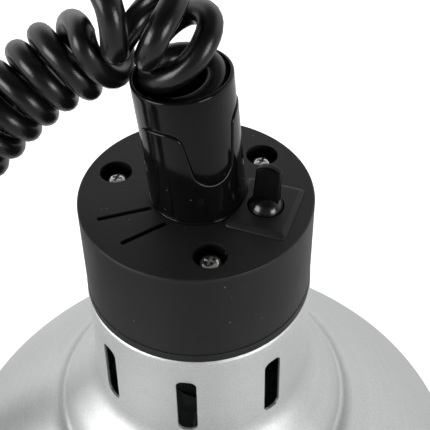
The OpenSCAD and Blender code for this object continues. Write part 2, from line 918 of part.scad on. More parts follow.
// Least distance between turns, less the cord's diameter
near_steps = 6;
cord_gap = min([
    for (i = [0:2:last_point], j = [i + near_steps:1:min(i + 2 * rings_per_turn, last_point)])
        norm(cord_points[i] - cord_points[j])
]) - cord_d;

cord_length = [
    for (k = 0, s = 0; k <= last_point;
        k = k + 1, s = k <= last_point ? s + norm(cord_points[k] - cord_points[k - 1]) : s) s
][last_point];

module cord_coil() {
    echo(least_gap_mm = cord_gap, cord_length_mm = cord_length, curls = last_turn - first_turn);
    color("#0f0f10")
        tube_from_rings([for (k = [0:last_point]) cord_ring(k)], sides);
}

// Ceiling cup, lying on its side with its axis along Y
cup_r = cup_d / 2;
cup_grip_h = 12;
cup_place = [-240, -53 - cord_d - cup_grip_h, cup_r];

module on_cup() {
    translate(cup_place)
        rotate([-90, 0, 0])
            children();
}

module ceiling_cup() {
    color("#1c1c1d")
        on_cup()
            difference() {
                rotate_extrude()
                    polygon(concat(
                        [[0, -cup_h], [cup_r, -cup_h]],
                        arc([cup_r - 3, -3], 3, 0, 90, 5),
                        [[0, 0]]
                    ));
                translate([0, 0, -cup_h - 1])
                    cylinder(r = cup_r - cup_wall, h = cup_h + 1 - cup_wall);
                translate([0, 0, -cup_h])
                    cylinder(r = cord_bore_r, h = cup_h + 1, $fn = 48);
                for (x = [-1, 1])
                    translate([0, 0, -cup_h + 9])
                        rotate([0, x * 90, 0])
                            cylinder(r = 2 + fit_gap, h = cup_r + 1, $fn = 32);
            }
}

module cup_grip() {
    color("#151516")
        on_cup()
            difference() {
                union() {
                    cylinder(r = 11, h = 5, $fn = 6);
                    cylinder(r = 8, h = cup_grip_h, $fn = 48);
                }
                translate([0, 0, -1])
                    cylinder(r = cord_bore_r, h = cup_grip_h + 2, $fn = 48);
            }
}

module cup_cord() {
    color("#0f0f10")
        on_cup()
            translate([0, 0, -14])
                cylinder(d = cord_d, h = cup_grip_h + 14, $fn = 48);
}

bar_w = 14;
bar_t = 2;
ear_x = 42.8;

module cup_bar() {
    color("silver")
        on_cup()
            difference() {
                union() {
                    translate([-ear_x, -bar_w / 2, -cup_h + 2])
                        cube([2 * ear_x, bar_w, bar_t]);
                    for (x = [-ear_x, ear_x - bar_t])
                        translate([x, -bar_w / 2, -cup_h + 2])
                            cube([bar_t, bar_w, 12]);
                }
                for (x = [-1, 1])
                    translate([x * bar_hole_pitch / 2, 0, -cup_h])
                        cylinder(d = bar_hole_d, h = 8, $fn = 48);
                for (x = [-1, 1])
                    translate([0, 0, -cup_h + 9])
                        rotate([0, x * 90, 0])
                            cylinder(r = 2 + fit_gap, h = cup_r, $fn = 32);
            }
}

module cup_screws() {
    color("lightgray")
        on_cup()
            for (x = [-1, 1])
                translate([x * cup_r, 0, -cup_h + 9])
                    rotate([0, x * 90, 0])
                        screw(7, 2.2, 4, 7);
}

module cup_terminal() {
    color("whitesmoke")
        on_cup()
            translate([-12, 14, -cup_wall - 12])
                cube([24, 12, 12]);
}

module cup_wires() {
    colours = ["saddlebrown", "royalblue", "green"];
    on_cup()
        for (i = [0:2])
            color(colours[i])
                bent_bar([[(i - 1) * 2.6, 0, -14], [(i - 1) * 2.6, 0, -15.5], [(i - 1) * 3, 1, -20],
                    [(i - 1) * 7, 14, -22], [(i - 1) * 7, 20, -19], [(i - 1) * 7, 20, -cup_wall - 12]], wire_d);
}

shade();
housing_base();
housing_cap();
housing_screws();
neck_sleeve();
neck_tube();
neck_nut();
neck_grip();
cord_tail();
cord_collar();
collar_screw();
switch_plate();
switch_body();
switch_terminals();
switch_lever();
holder_body();
holder_bracket();
holder_nut();
bracket_screws();
holder_core();
holder_shell();
holder_contact();
bulb_cap();
bulb_tip();
bulb_glass();
bulb_stem();
bulb_filament();
terminal_block();
wire_live();
wire_return();
wire_neutral();
wire_earth();
cord_coil();
ceiling_cup();
cup_grip();
cup_cord();
cup_bar();
cup_screws();
cup_terminal();
cup_wires();
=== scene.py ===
# Food heat lamp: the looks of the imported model, seen as in the photograph.
import json
import math

import bmesh
import bpy
import numpy as np
from mathutils import Matrix, Vector


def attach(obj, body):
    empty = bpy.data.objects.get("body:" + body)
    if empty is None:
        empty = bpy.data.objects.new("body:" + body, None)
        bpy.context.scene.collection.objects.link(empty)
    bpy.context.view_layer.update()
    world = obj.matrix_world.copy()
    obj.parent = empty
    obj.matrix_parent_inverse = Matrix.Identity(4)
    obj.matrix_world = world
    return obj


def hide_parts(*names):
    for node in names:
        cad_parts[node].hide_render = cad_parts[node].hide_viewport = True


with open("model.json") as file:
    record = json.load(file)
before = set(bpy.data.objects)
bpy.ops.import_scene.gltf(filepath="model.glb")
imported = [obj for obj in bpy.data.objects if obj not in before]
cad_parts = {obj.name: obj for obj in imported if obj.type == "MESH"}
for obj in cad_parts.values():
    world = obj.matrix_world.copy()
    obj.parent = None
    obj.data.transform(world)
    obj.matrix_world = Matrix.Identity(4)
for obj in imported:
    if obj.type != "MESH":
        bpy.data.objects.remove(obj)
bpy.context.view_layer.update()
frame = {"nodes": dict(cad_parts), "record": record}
nodes = frame["nodes"]
scene = bpy.context.scene
scene.view_settings.view_transform = "Standard"

# Lengths in the script are metres. MM turns a number of millimetres into metres.
MM = 0.001

# Camera
IMAGE_WIDTH_PX = 430
FOCAL_PX = 786.6
SENSOR = 36
CAMERA_PLACE = (0, -0.22091, 0.39913)
LOOK_DOWN = 0.767
LOOK_RIGHT = 0.032
ROLL = -0.015


def make_camera():
    data = bpy.data.cameras.new("camera")
    data.sensor_width = SENSOR
    data.lens = SENSOR * FOCAL_PX / IMAGE_WIDTH_PX
    data.clip_start = 0.01
    right = Vector((math.cos(LOOK_RIGHT), -math.sin(LOOK_RIGHT), 0))
    level = Vector((math.sin(LOOK_RIGHT), math.cos(LOOK_RIGHT), 0))
    down = Vector((0, 0, -1))
    forward = math.cos(LOOK_DOWN) * level + math.sin(LOOK_DOWN) * down
    up = math.sin(LOOK_DOWN) * level - math.cos(LOOK_DOWN) * down
    x_axis = math.cos(ROLL) * right + math.sin(ROLL) * up
    y_axis = math.cos(ROLL) * up - math.sin(ROLL) * right
    turn = Matrix((x_axis, y_axis, -forward)).transposed().to_4x4()
    camera = bpy.data.objects.new("camera", data)
    camera.matrix_world = Matrix.Translation(CAMERA_PLACE) @ turn
    scene.collection.objects.link(camera)
    scene.camera = camera


# The cord's route: the centre line of its curls as (x, y, z, turns so far)
CORD_ROUTE = [
    (-0.0006, 0, 0.2171, -2.9), (-0.0013, 0, 0.2264, -2), (-0.0021, 0, 0.2362, -1), (-0.0029, 0, 0.246, 0),
    (-0.0028, 0.0008, 0.262, 1.1), (-0.0087, -0.0036, 0.2723, 2.1), (-0.0235, -0.0024, 0.2754, 3.1),
    (-0.0336, 0.0087, 0.2563, 4.1), (-0.0437, 0.0116, 0.2509, 5.1), (-0.0524, 0.0116, 0.2447, 6.1),
    (-0.0604, 0.011, 0.2387, 7.1), (-0.0682, 0.0098, 0.2319, 8.1), (-0.0757, 0.0082, 0.2249, 9.1),
    (-0.0834, 0.0066, 0.2172, 10.1), (-0.103, 0.005, 0.1945, 12.9), (-0.119, 0.008, 0.167, 15.8),
    (-0.1295, 0.012, 0.138, 18.8), (-0.136, 0.017, 0.106, 22.1), (-0.144, 0.022, 0.073, 25.5),
    (-0.159, 0.0255, 0.041, 28.6), (-0.184, 0.026, 0.0205, 31.2), (-0.212, 0.018, 0.016, 33.4),
    (-0.233, -0.001, 0.019, 35.3), (-0.241, -0.022, 0.03, 37.2), (-0.24, -0.044, 0.046, 39),
    (-0.24, -0.053, 0.046, 39.6)
]
# How far the loops lean over along the route, for each part of their width along X, Y and Z, by turns
LEAN_X = [
    (0, 0), (1.1, 0.7), (2.1, 0.8), (3.1, 1.15), (4.1, 1.6), (5.1, 0.9), (6.1, 0.4), (7.1, 0.2), (9.1, 0)
]
LEAN_Y = [(1.1, 0), (2.1, -0.4), (3.1, 0), (4.1, 0.4), (7.1, 0.4), (9.1, 0.25), (14, 0)]
LEAN_Z = [
    (0, 0), (1.1, -0.7), (2.1, -0.7), (3.1, -0.2), (4.1, 0.5), (5.1, 0.4), (6.1, 0), (8.1, -0.15), (14, 0)
]
CORD_D = 0.0086
CURL_R = 0.0113
END_TURNS = 0.9
TURN_SHIFT = 0.04
POINTS_PER_TURN = 32


def eased(x):
    s = np.clip(x, 0, 1)
    return s * s * (3 - 2 * s)


def route_points(turns):
    """Points and directions of the smooth centre line of the curls."""
    route = np.array(CORD_ROUTE)
    place, count = route[:, :3], route[:, 3]
    before = np.maximum(np.arange(len(route)) - 1, 0)
    after = np.minimum(np.arange(len(route)) + 1, len(route) - 1)
    slope = (place[after] - place[before]) / (count[after] - count[before])[:, None]
    i = np.clip(np.searchsorted(count, turns, side="right") - 1, 0, len(route) - 2)
    h = (count[i + 1] - count[i])[:, None]
    s = (turns - count[i])[:, None] / h
    points = (
        (2 * s**3 - 3 * s**2 + 1) * place[i] + (s**3 - 2 * s**2 + s) * h * slope[i]
        + (3 * s**2 - 2 * s**3) * place[i + 1] + (s**3 - s**2) * h * slope[i + 1]
    )
    ways = (
        (6 * s**2 - 6 * s) / h * (place[i] - place[i + 1]) + (3 * s**2 - 4 * s + 1) * slope[i]
        + (3 * s**2 - 2 * s) * slope[i + 1]
    )
    return points, ways / np.linalg.norm(ways, axis=1)[:, None]


def cord_points():
    first, last = CORD_ROUTE[0][3], CORD_ROUTE[-1][3]
    turns = np.linspace(first, last, round((last - first) * POINTS_PER_TURN) + 1)
    points, ways = route_points(turns)
    carried = np.empty_like(ways)
    side = np.array([1.0, 0, 0])
    for k, way in enumerate(ways):
        side = side - (side @ way) * way
        side = side / np.linalg.norm(side)
        carried[k] = side
    angle = 2 * math.pi * (turns + TURN_SHIFT) - math.pi / 2
    out = np.cos(angle)[:, None] * carried + np.sin(angle)[:, None] * np.cross(ways, carried)
    radius = CURL_R * np.minimum(eased((turns - first) / END_TURNS), eased((last - turns) / END_TURNS))
    lean = np.stack([np.interp(turns, *zip(*table)) for table in (LEAN_X, LEAN_Y, LEAN_Z)], axis=1)
    leaning = (out * lean).sum(axis=1)[:, None] * ways
    curls = points + radius[:, None] * (out + leaning)
    return np.vstack([curls[0] - CORD_D * ways[0], curls, curls[-1] + CORD_D * ways[-1]])


def make_cord():
    points = cord_points()
    data = bpy.data.curves.new("curly_cord", "CURVE")
    data.dimensions = "3D"
    # The depth is 1, so that each point's radius is the cord's own
    data.bevel_depth = 1
    data.bevel_resolution = 6
    data.use_fill_caps = True
    spline = data.splines.new("POLY")
    spline.points.add(len(points) - 1)
    for point, place in zip(spline.points, points):
        point.co = (*place, 1)
        point.radius = CORD_D / 2
    cord = bpy.data.objects.new("curly_cord", data)
    scene.collection.objects.link(cord)
    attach(cord, "lamp")
    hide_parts("cord_coil")
    return cord


# Materials. Texture scales are per metre, because each piece's own coordinates are metres.
# Most values of a noise texture lie between these two
NOISE_LOW = 0.3
NOISE_HIGH = 0.7
REFRACTION = 1.5
# Specks of dust: their cells per metre, their size and soft edge as shares of a cell, and their colour
DUST_SCALE = 150
DUST_SIZE = 0.035
DUST_EDGE = 0.05
DUST_COLOUR = (0.25, 0.24, 0.22, 1)
# Scratches on metal: how many per metre, and how they are drawn out and turned
SCRATCH_SCALE = 900
SCRATCH_STRETCH = (1, 0.15, 0.5)
SCRATCH_TURN = (0.3, 0.2, 0.6)
# Painted light: the aluminium's colour gets lighter from the first to the second of these heights, at the
# foot of the collar, so the collar looks more brightly lit than the dome
PAINTED_LIGHT_FROM_Z = 0.11
PAINTED_LIGHT_TO_Z = 0.125


def noise(tree, coordinates, scale, detail=3, roughness=0.5):
    node = tree.nodes.new("ShaderNodeTexNoise")
    node.inputs["Scale"].default_value = scale
    node.inputs["Detail"].default_value = detail
    node.inputs["Roughness"].default_value = roughness
    tree.links.new(coordinates, node.inputs["Vector"])
    return node.outputs["Fac"]


def spread(tree, value, low, high, new_low, new_high):
    node = tree.nodes.new("ShaderNodeMapRange")
    for name, number in zip(("From Min", "From Max", "To Min", "To Max"), (low, high, new_low, new_high)):
        node.inputs[name].default_value = number
    tree.links.new(value, node.inputs["Value"])
    return node.outputs["Result"]


def over_noise(tree, value, new_low, new_high):
    """A noise texture's value, spread over a new range."""
    return spread(tree, value, NOISE_LOW, NOISE_HIGH, new_low, new_high)


def arithmetic(tree, kind, a, b):
    node = tree.nodes.new("ShaderNodeMath")
    node.operation = kind
    for socket, value in zip(node.inputs, (a, b)):
        if isinstance(value, (int, float)):
            socket.default_value = value
        else:
            tree.links.new(value, socket)
    return node.outputs[0]


def parts(tree, vector):
    """The X, Y and Z of a vector, by those names."""
    node = tree.nodes.new("ShaderNodeSeparateXYZ")
    tree.links.new(vector, node.inputs["Vector"])
    return node.outputs


def vector_math(tree, kind, vector):
    node = tree.nodes.new("ShaderNodeVectorMath")
    node.operation = kind
    tree.links.new(vector, node.inputs[0])
    return node


def bump(tree, height, strength, distance, under=None):
    """Bumps of a height. under is the surface that already has bumps, if there is one."""
    node = tree.nodes.new("ShaderNodeBump")
    node.inputs["Strength"].default_value = strength
    node.inputs["Distance"].default_value = distance
    tree.links.new(height, node.inputs["Height"])
    if under is not None:
        tree.links.new(under, node.inputs["Normal"])
    return node.outputs["Normal"]


def tinted(tree, value, dark, light):
    node = tree.nodes.new("ShaderNodeMix")
    node.data_type = "RGBA"
    node.inputs["A"].default_value = (*dark, 1)
    node.inputs["B"].default_value = (*light, 1)
    tree.links.new(value, node.inputs["Factor"])
    return node.outputs["Result"]


def new_material(name, metallic=0.0, specular=0.5, transmission=0.0):
    material = bpy.data.materials.new(name)
    material.use_nodes = True
    tree = material.node_tree
    shader = tree.nodes["Principled BSDF"]
    shader.inputs["Metallic"].default_value = metallic
    shader.inputs["Specular IOR Level"].default_value = specular
    shader.inputs["Transmission Weight"].default_value = transmission
    shader.inputs["IOR"].default_value = REFRACTION
    coordinates = tree.nodes.new("ShaderNodeTexCoord").outputs["Object"]
    return material, tree, shader, coordinates


def finish_shader(tree, shader, colour, roughness, normal):
    tree.links.new(colour, shader.inputs["Base Color"])
    tree.links.new(roughness, shader.inputs["Roughness"])
    tree.links.new(normal, shader.inputs["Normal"])


def satin_aluminium():
    """Spun sheet with a fine sparkle and faint marks that run round the axis, its colour painted lighter on
    the collar as painted light.
    """
    material, tree, shader, place = new_material("satin_aluminium", metallic=0.9)
    flat = vector_math(tree, "MULTIPLY", place)
    flat.inputs[1].default_value = (1, 1, 0)
    radius = vector_math(tree, "LENGTH", flat.outputs["Vector"]).outputs["Value"]
    height = parts(tree, place)["Z"]
    along = tree.nodes.new("ShaderNodeCombineXYZ")
    tree.links.new(radius, along.inputs["X"])
    tree.links.new(height, along.inputs["Y"])
    spin = noise(tree, along.outputs["Vector"], 260, detail=4)
    cloud = noise(tree, place, 28, detail=2)
    grain = noise(tree, place, 1500, roughness=0.8)
    flake = noise(tree, place, 5200, detail=0)
    fine_tone = spread(tree, grain, 0.35, 0.65, -0.5, 0.5)
    tone = arithmetic(tree, "ADD", fine_tone, over_noise(tree, spin, 0.4, 0.6))
    # Painted light: the colour lightens up the collar
    tone = arithmetic(tree, "ADD", tone, spread(tree, height, PAINTED_LIGHT_FROM_Z, PAINTED_LIGHT_TO_Z, 0, 0.4))
    colour = tinted(tree, tone, dark=(0.585, 0.597, 0.597), light=(0.735, 0.747, 0.745))
    fine_rough = over_noise(tree, flake, -0.04, 0.04)
    rough = arithmetic(tree, "ADD", over_noise(tree, cloud, 0.42, 0.48), fine_rough)
    marks = bump(tree, spin, strength=0.15, distance=0.0001)
    normal = bump(tree, grain, strength=0.7, distance=0.00022, under=marks)
    finish_shader(tree, shader, colour, rough, normal)
    return material


def moulded_plastic(
        name, dark, light, rough, grain_scale, grain_depth, specular=0.5, specks=0.0, painted_shade_below=None):
    """Moulded plastic: fine grain, cloudy tone, and a few specks of dust if asked for.
    painted_shade_below is a range of heights over which the tone rises, and the share of it left below, as
    painted shade on the lower faces."""
    material, tree, shader, place = new_material(name, specular=specular)
    cloud = noise(tree, place, 45)
    grain = noise(tree, place, grain_scale, detail=2)
    colour = tinted(tree, over_noise(tree, cloud, 0, 1), dark, light)
    # Painted shade: below the given heights the colour keeps only a share of itself, so upper faces look lit
    # and lower ones shaded
    if painted_shade_below:
        low, high, left = painted_shade_below
        share = vector_math(tree, "SCALE", colour)
        tree.links.new(spread(tree, parts(tree, place)["Z"], low, high, left, 1), share.inputs["Scale"])
        colour = share.outputs["Vector"]
    if specks:
        cells = tree.nodes.new("ShaderNodeTexVoronoi")
        cells.inputs["Scale"].default_value = DUST_SCALE
        tree.links.new(place, cells.inputs["Vector"])
        dust = spread(tree, cells.outputs["Distance"], DUST_SIZE, DUST_EDGE, specks, 0)
        mix = tree.nodes.new("ShaderNodeMix")
        mix.data_type = "RGBA"
        mix.inputs["B"].default_value = DUST_COLOUR
        tree.links.new(dust, mix.inputs["Factor"])
        tree.links.new(colour, mix.inputs["A"])
        colour = mix.outputs["Result"]
    roughness = over_noise(tree, cloud, rough[0], rough[1])
    finish_shader(tree, shader, colour, roughness, bump(tree, grain, 0.6, grain_depth))
    return material


def plated_metal(name, dark, light, rough):
    """Plated or bare metal with fine scratches and a slightly uneven tone."""
    material, tree, shader, place = new_material(name, metallic=1.0)
    stretch = tree.nodes.new("ShaderNodeMapping")
    stretch.inputs["Scale"].default_value = SCRATCH_STRETCH
    stretch.inputs["Rotation"].default_value = SCRATCH_TURN
    tree.links.new(place, stretch.inputs["Vector"])
    scratch = noise(tree, stretch.outputs["Vector"], SCRATCH_SCALE)
    cloud = noise(tree, place, 120, detail=2)
    colour = tinted(tree, over_noise(tree, cloud, 0, 1), dark, light)
    roughness = over_noise(tree, scratch, rough[0], rough[1])
    finish_shader(tree, shader, colour, roughness, bump(tree, scratch, 0.3, 0.00003))
    return material


def glass(name, dark, light, rough, transmission):
    """Cloudy glass."""
    material, tree, shader, place = new_material(name, transmission=transmission)
    cloud = noise(tree, place, 40, detail=2)
    colour = tinted(tree, over_noise(tree, cloud, 0, 1), dark, light)
    roughness = over_noise(tree, cloud, rough[0], rough[1])
    finish_shader(tree, shader, colour, roughness, bump(tree, cloud, 0.2, 0.0004))
    return material


def mirrored_bulb(front_z, mirror_z):
    """Ruby glass at the face, turning into a dark mirror coat on the bulb's sides and neck."""
    material, tree, shader, place = new_material("bulb_red")
    coat = spread(tree, parts(tree, place)["Z"], front_z, mirror_z, 0, 1)
    cloud = noise(tree, place, 40, detail=2)
    colour = tinted(tree, coat, dark=(0.5, 0.03, 0.02), light=(0.3, 0.3, 0.31))
    tree.links.new(coat, shader.inputs["Metallic"])
    tree.links.new(spread(tree, coat, 0, 0.3, 0.75, 0), shader.inputs["Transmission Weight"])
    finish_shader(tree, shader, colour, over_noise(tree, cloud, 0.08, 0.16), bump(tree, cloud, 0.2, 0.0004))
    return material


def make_materials():
    return {
        "shade_aluminium": satin_aluminium(),
        # The housing's colour is painted five times darker on its side than on its top: painted shade on the
        # side, painted sheen on the top
        "housing_black": moulded_plastic(
            "housing_black", (0.012, 0.012, 0.0122), (0.015, 0.015, 0.015), (0.42, 0.5), 2600, 0.00016,
            specular=0.3, specks=0.7, painted_shade_below=(0.1968, 0.1986, 0.2)),
        "neck_black": moulded_plastic(
            "neck_black", (0.003, 0.003, 0.0031), (0.005, 0.005, 0.005), (0.1, 0.17), 300, 0.00004,
            specular=0.22, specks=0.25),
        "lever_black": moulded_plastic(
            "lever_black", (0.003, 0.003, 0.003), (0.005, 0.005, 0.005), (0.2, 0.27), 2500, 0.00003,
            specular=0.6),
        "paddle_black": moulded_plastic(
            "paddle_black", (0.003, 0.003, 0.003), (0.005, 0.005, 0.005), (0.26, 0.33), 2500, 0.00003,
            specular=0.06),
        "cord_black": moulded_plastic(
            "cord_black", (0.003, 0.003, 0.0031), (0.005, 0.005, 0.0051), (0.23, 0.3), 1500, 0.00005,
            specular=0.43),
        "screw_steel": plated_metal("screw_steel", (0.7, 0.69, 0.67), (0.9, 0.89, 0.87), (0.07, 0.2)),
        "plate_steel": plated_metal("plate_steel", (0.5, 0.5, 0.49), (0.66, 0.66, 0.65), (0.28, 0.42)),
        "brass": plated_metal("brass", (0.62, 0.45, 0.2), (0.74, 0.56, 0.28), (0.2, 0.34)),
        "cap_metal": plated_metal("cap_metal", (0.62, 0.61, 0.58), (0.74, 0.73, 0.7), (0.22, 0.32)),
        # The lampholder's dark grey is lighter than its black plastic: painted light, standing in for light
        # that falls on it through the slots
        "holder_black": moulded_plastic(
            "holder_black", (0.07, 0.07, 0.07), (0.09, 0.09, 0.088), (0.3, 0.42), 2200, 0.00008),
        "core_ceramic": moulded_plastic(
            "core_ceramic", (0.74, 0.73, 0.69), (0.84, 0.83, 0.79), (0.12, 0.2), 500, 0.00008),
        "bulb_red": mirrored_bulb(front_z=0.034, mirror_z=0.044),
        "stem_glass": glass("stem_glass", (0.7225, 0.765, 0.765), (0.85, 0.9, 0.9), (0.035, 0.05), 0.95),
        "filament": plated_metal("filament", (0.3, 0.3, 0.31), (0.4, 0.4, 0.41), (0.3, 0.5)),
        "nylon_white": moulded_plastic(
            "nylon_white", (0.68, 0.68, 0.65), (0.76, 0.76, 0.73), (0.35, 0.45), 1200, 0.0001),
        "wire_brown": moulded_plastic(
            "wire_brown", (0.16, 0.06, 0.03), (0.2, 0.08, 0.04), (0.25, 0.35), 1200, 0.00004),
        "wire_black": moulded_plastic(
            "wire_black", (0.01, 0.01, 0.01), (0.016, 0.016, 0.016), (0.25, 0.35), 1200, 0.00004),
        "wire_blue": moulded_plastic(
            "wire_blue", (0.03, 0.1, 0.38), (0.05, 0.14, 0.46), (0.25, 0.35), 1200, 0.00004),
        "wire_green": moulded_plastic(
            "wire_green", (0.05, 0.24, 0.05), (0.08, 0.3, 0.07), (0.25, 0.35), 1200, 0.00004),
    }


def dress(obj, material):
    obj.data.materials.clear()
    obj.data.materials.append(material)


def dress_above(obj, material, height):
    """Gives the faces above a height a second material."""
    obj.data.materials.append(material)
    for face in obj.data.polygons:
        if face.center.z > height:
            face.material_index = 1


def dress_nodes(materials):
    slot_of = {part["node"]: part["material_slot"] for part in frame["record"]["subparts"]}
    for name, obj in nodes.items():
        dress(obj, materials[slot_of[name]])


# Mesh helpers. A point nearer the axis than NO_RADIUS is on it, and points within SAME_PLACE are one.
NO_RADIUS = 1e-9
SAME_PLACE = 1e-7


def new_piece(name, vertices, faces, body, slot, replaced=()):
    mesh = bpy.data.meshes.new(name)
    mesh.from_pydata([tuple(v) for v in vertices], [], faces)
    mesh.update()
    obj = bpy.data.objects.new(name, mesh)
    scene.collection.objects.link(obj)
    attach(obj, body)
    if replaced:
        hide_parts(*replaced)
    return obj


def smooth(obj, angle=35):
    obj.data.shade_smooth()
    obj.data.set_sharp_from_angle(angle=math.radians(angle))


def arc(centre, radius, start, end, steps):
    """Points of an arc, with its angles in degrees and both ends included."""
    return [
        (centre[0] + radius * math.cos(math.radians(a)), centre[1] + radius * math.sin(math.radians(a)))
        for a in np.linspace(start, end, steps + 1)
    ]


def on_circle(centre, radius, angle):
    return arc(centre, radius, angle, angle, 1)[0]


def circle(centre, radius, count):
    """Points of a whole circle, without the first one again at its end."""
    return arc(centre, radius, 0, 360 - 360 / count, count - 1)


def in_metres(outline):
    """An outline in millimetres, in metres."""
    return [(x * MM, y * MM) for x, y in outline]


def lathe(outline, segments, radius_at=None):
    """Vertices and faces of a closed outline of (radius, height) points turned round Z.
    radius_at may change a radius by its height and angle."""
    vertices, faces = [], []
    rings = []
    for r, z in outline:
        if r < NO_RADIUS:
            rings.append([len(vertices)])
            vertices.append((0, 0, z))
            continue
        start = len(vertices)
        for k in range(segments):
            a = 2 * math.pi * k / segments
            turned = radius_at(r, z, a) if radius_at else r
            vertices.append((turned * math.cos(a), turned * math.sin(a), z))
        rings.append(list(range(start, start + segments)))
    for i in range(len(rings)):
        low, high = rings[i], rings[(i + 1) % len(rings)]
        if len(low) == 1 and len(high) == 1:
            continue
        for k in range(segments):
            j = (k + 1) % segments
            if len(low) == 1:
                faces.append((low[0], high[j], high[k]))
            elif len(high) == 1:
                faces.append((low[k], low[j], high[0]))
            else:
                faces.append((low[k], low[j], high[j], high[k]))
    return vertices, faces


def outward(obj):
    """Turns every face to the outside."""
    work = bmesh.new()
    work.from_mesh(obj.data)
    bmesh.ops.remove_doubles(work, verts=work.verts, dist=SAME_PLACE)
    bmesh.ops.recalc_face_normals(work, faces=work.faces)
    work.to_mesh(obj.data)
    work.free()


def apply_modifiers(obj):
    seen = obj.evaluated_get(bpy.context.evaluated_depsgraph_get())
    mesh = bpy.data.meshes.new_from_object(seen)
    obj.modifiers.clear()
    obj.data = mesh


def cut(obj, cutter, kind="DIFFERENCE"):
    """Takes the cutter out of the piece, or joins it to it, and deletes the cutter."""
    step = obj.modifiers.new("cut", "BOOLEAN")
    step.operation = kind
    step.solver = "EXACT"
    step.object = cutter
    apply_modifiers(obj)
    bpy.data.objects.remove(cutter)


def bevel(obj, width, segments=2, angle=40):
    step = obj.modifiers.new("bevel", "BEVEL")
    step.width = width
    step.segments = segments
    step.limit_method = "ANGLE"
    step.angle_limit = math.radians(angle)
    step.harden_normals = False
    apply_modifiers(obj)


def loose(name, vertices, faces):
    """A helper mesh that isn't a piece of the object."""
    mesh = bpy.data.meshes.new(name)
    mesh.from_pydata([tuple(v) for v in vertices], [], faces)
    mesh.update()
    obj = bpy.data.objects.new(name, mesh)
    scene.collection.objects.link(obj)
    outward(obj)
    return obj


def taken_over(name, helper, body, slot, replaced):
    """Makes a piece from a helper mesh and deletes the helper."""
    vertices = [tuple(v.co) for v in helper.data.vertices]
    faces = [tuple(p.vertices) for p in helper.data.polygons]
    bpy.data.objects.remove(helper)
    piece = new_piece(name, vertices, faces, body, slot, replaced)
    outward(piece)
    return piece


def at_switch(z):
    """The switch's place on the housing, at a height."""
    return Matrix.Rotation(SWITCH_ANGLE, 4, "Z") @ Matrix.Translation((SWITCH_R, 0, z))


def prism(outline, low, high, turn):
    """A helper prism of an outline in X and Y from one height to another, placed by a matrix."""
    n = len(outline)
    vertices = [turn @ Vector((x, y, z)) for z in (low, high) for x, y in outline]
    faces = [tuple(range(n)), tuple(range(2 * n - 1, n - 1, -1))]
    faces += [(k, (k + 1) % n, n + (k + 1) % n, n + k) for k in range(n)]
    return loose("prism", vertices, faces)


# Shade, in millimetres
SHADE_WALL = 1.2
SHADE_H = 154
SHADE_SEGMENTS = 256
SHADE_EDGE = 0.28
COLLAR_TOP_R = 46.5
COLLAR_LOW_R = 48
COLLAR_CORNER_R = 2
COLLAR_CORNER_END = 2
COLLAR_WALL_TOP_Z = 150
COLLAR_STEPS = 8
HOLE_MARGIN = 8
CORNER_MARGIN = 5
FLARE_Z = 108
FLARE_R = 19
FLARE_RUN = 4.43
ROUND_R = 29.5
ROUND_END = 4
LEDGE_Z = 74
LEDGE_W = 6
LEDGE_DROP = 1
LEDGE_IN_ROUND = 2.3
LEDGE_OUT_ROUND = 3.2
DOME_STEP_W = 1
DOME_STEP_H = 1.2
DOME_BULGE = 2.9
RIM_R = 136.5
BEAD_R = 3
BEAD_START = 36
BEAD_CLEAR = 0.2
HOLDER_HOLE_R = 16.5
SLOT_COUNT = 8
SLOT_FIRST = -98.3
SLOT_W = 8.2
SLOT_H = 32.3
SLOT_Z = 108.8
SLOT_CORNER = 3
SLOT_CUT_FROM_R = 36
SLOT_CUT_TO_R = 60
BRACKET_R = 26
BRACKET_HOLE_R = 2.2
BRACKET_ANGLES = (90, 210, 330)
BRACKET_CUT_LOW_Z = 150
BRACKET_CUT_HIGH_Z = 157


def bent_corner(before, corner, after, size, steps=5):
    """Points that take a corner round instead of through it."""
    corner = np.array(corner)
    start = corner + size * (np.array(before) - corner) / np.linalg.norm(np.array(before) - corner)
    end = corner + size * (np.array(after) - corner) / np.linalg.norm(np.array(after) - corner)
    return [
        tuple((1 - t) ** 2 * start + 2 * t * (1 - t) * corner + t * t * end)
        for t in np.linspace(0, 1, steps + 1)
    ]


def bulged(p, q, height, steps):
    """Points of a shallow arc from p to q that stands out by a height to the left of the way."""
    p, q = np.array(p), np.array(q)
    along = (q - p) / np.linalg.norm(q - p)
    left = np.array((-along[1], along[0]))
    half = np.linalg.norm(q - p) / 2
    r = (half * half + height * height) / (2 * height)
    angles = np.linspace(-math.asin(half / r), math.asin(half / r), steps + 1)
    return [
        tuple((p + q) / 2 + along * r * math.sin(a) + left * (r * math.cos(a) - r + height)) for a in angles
    ]


def beside(points, distance):
    """An open line moved to its right."""
    points = np.array(points)
    ways = np.gradient(points, axis=0)
    ways /= np.linalg.norm(ways, axis=1)[:, None]
    return points + distance * np.stack([ways[:, 1], -ways[:, 0]], axis=1)


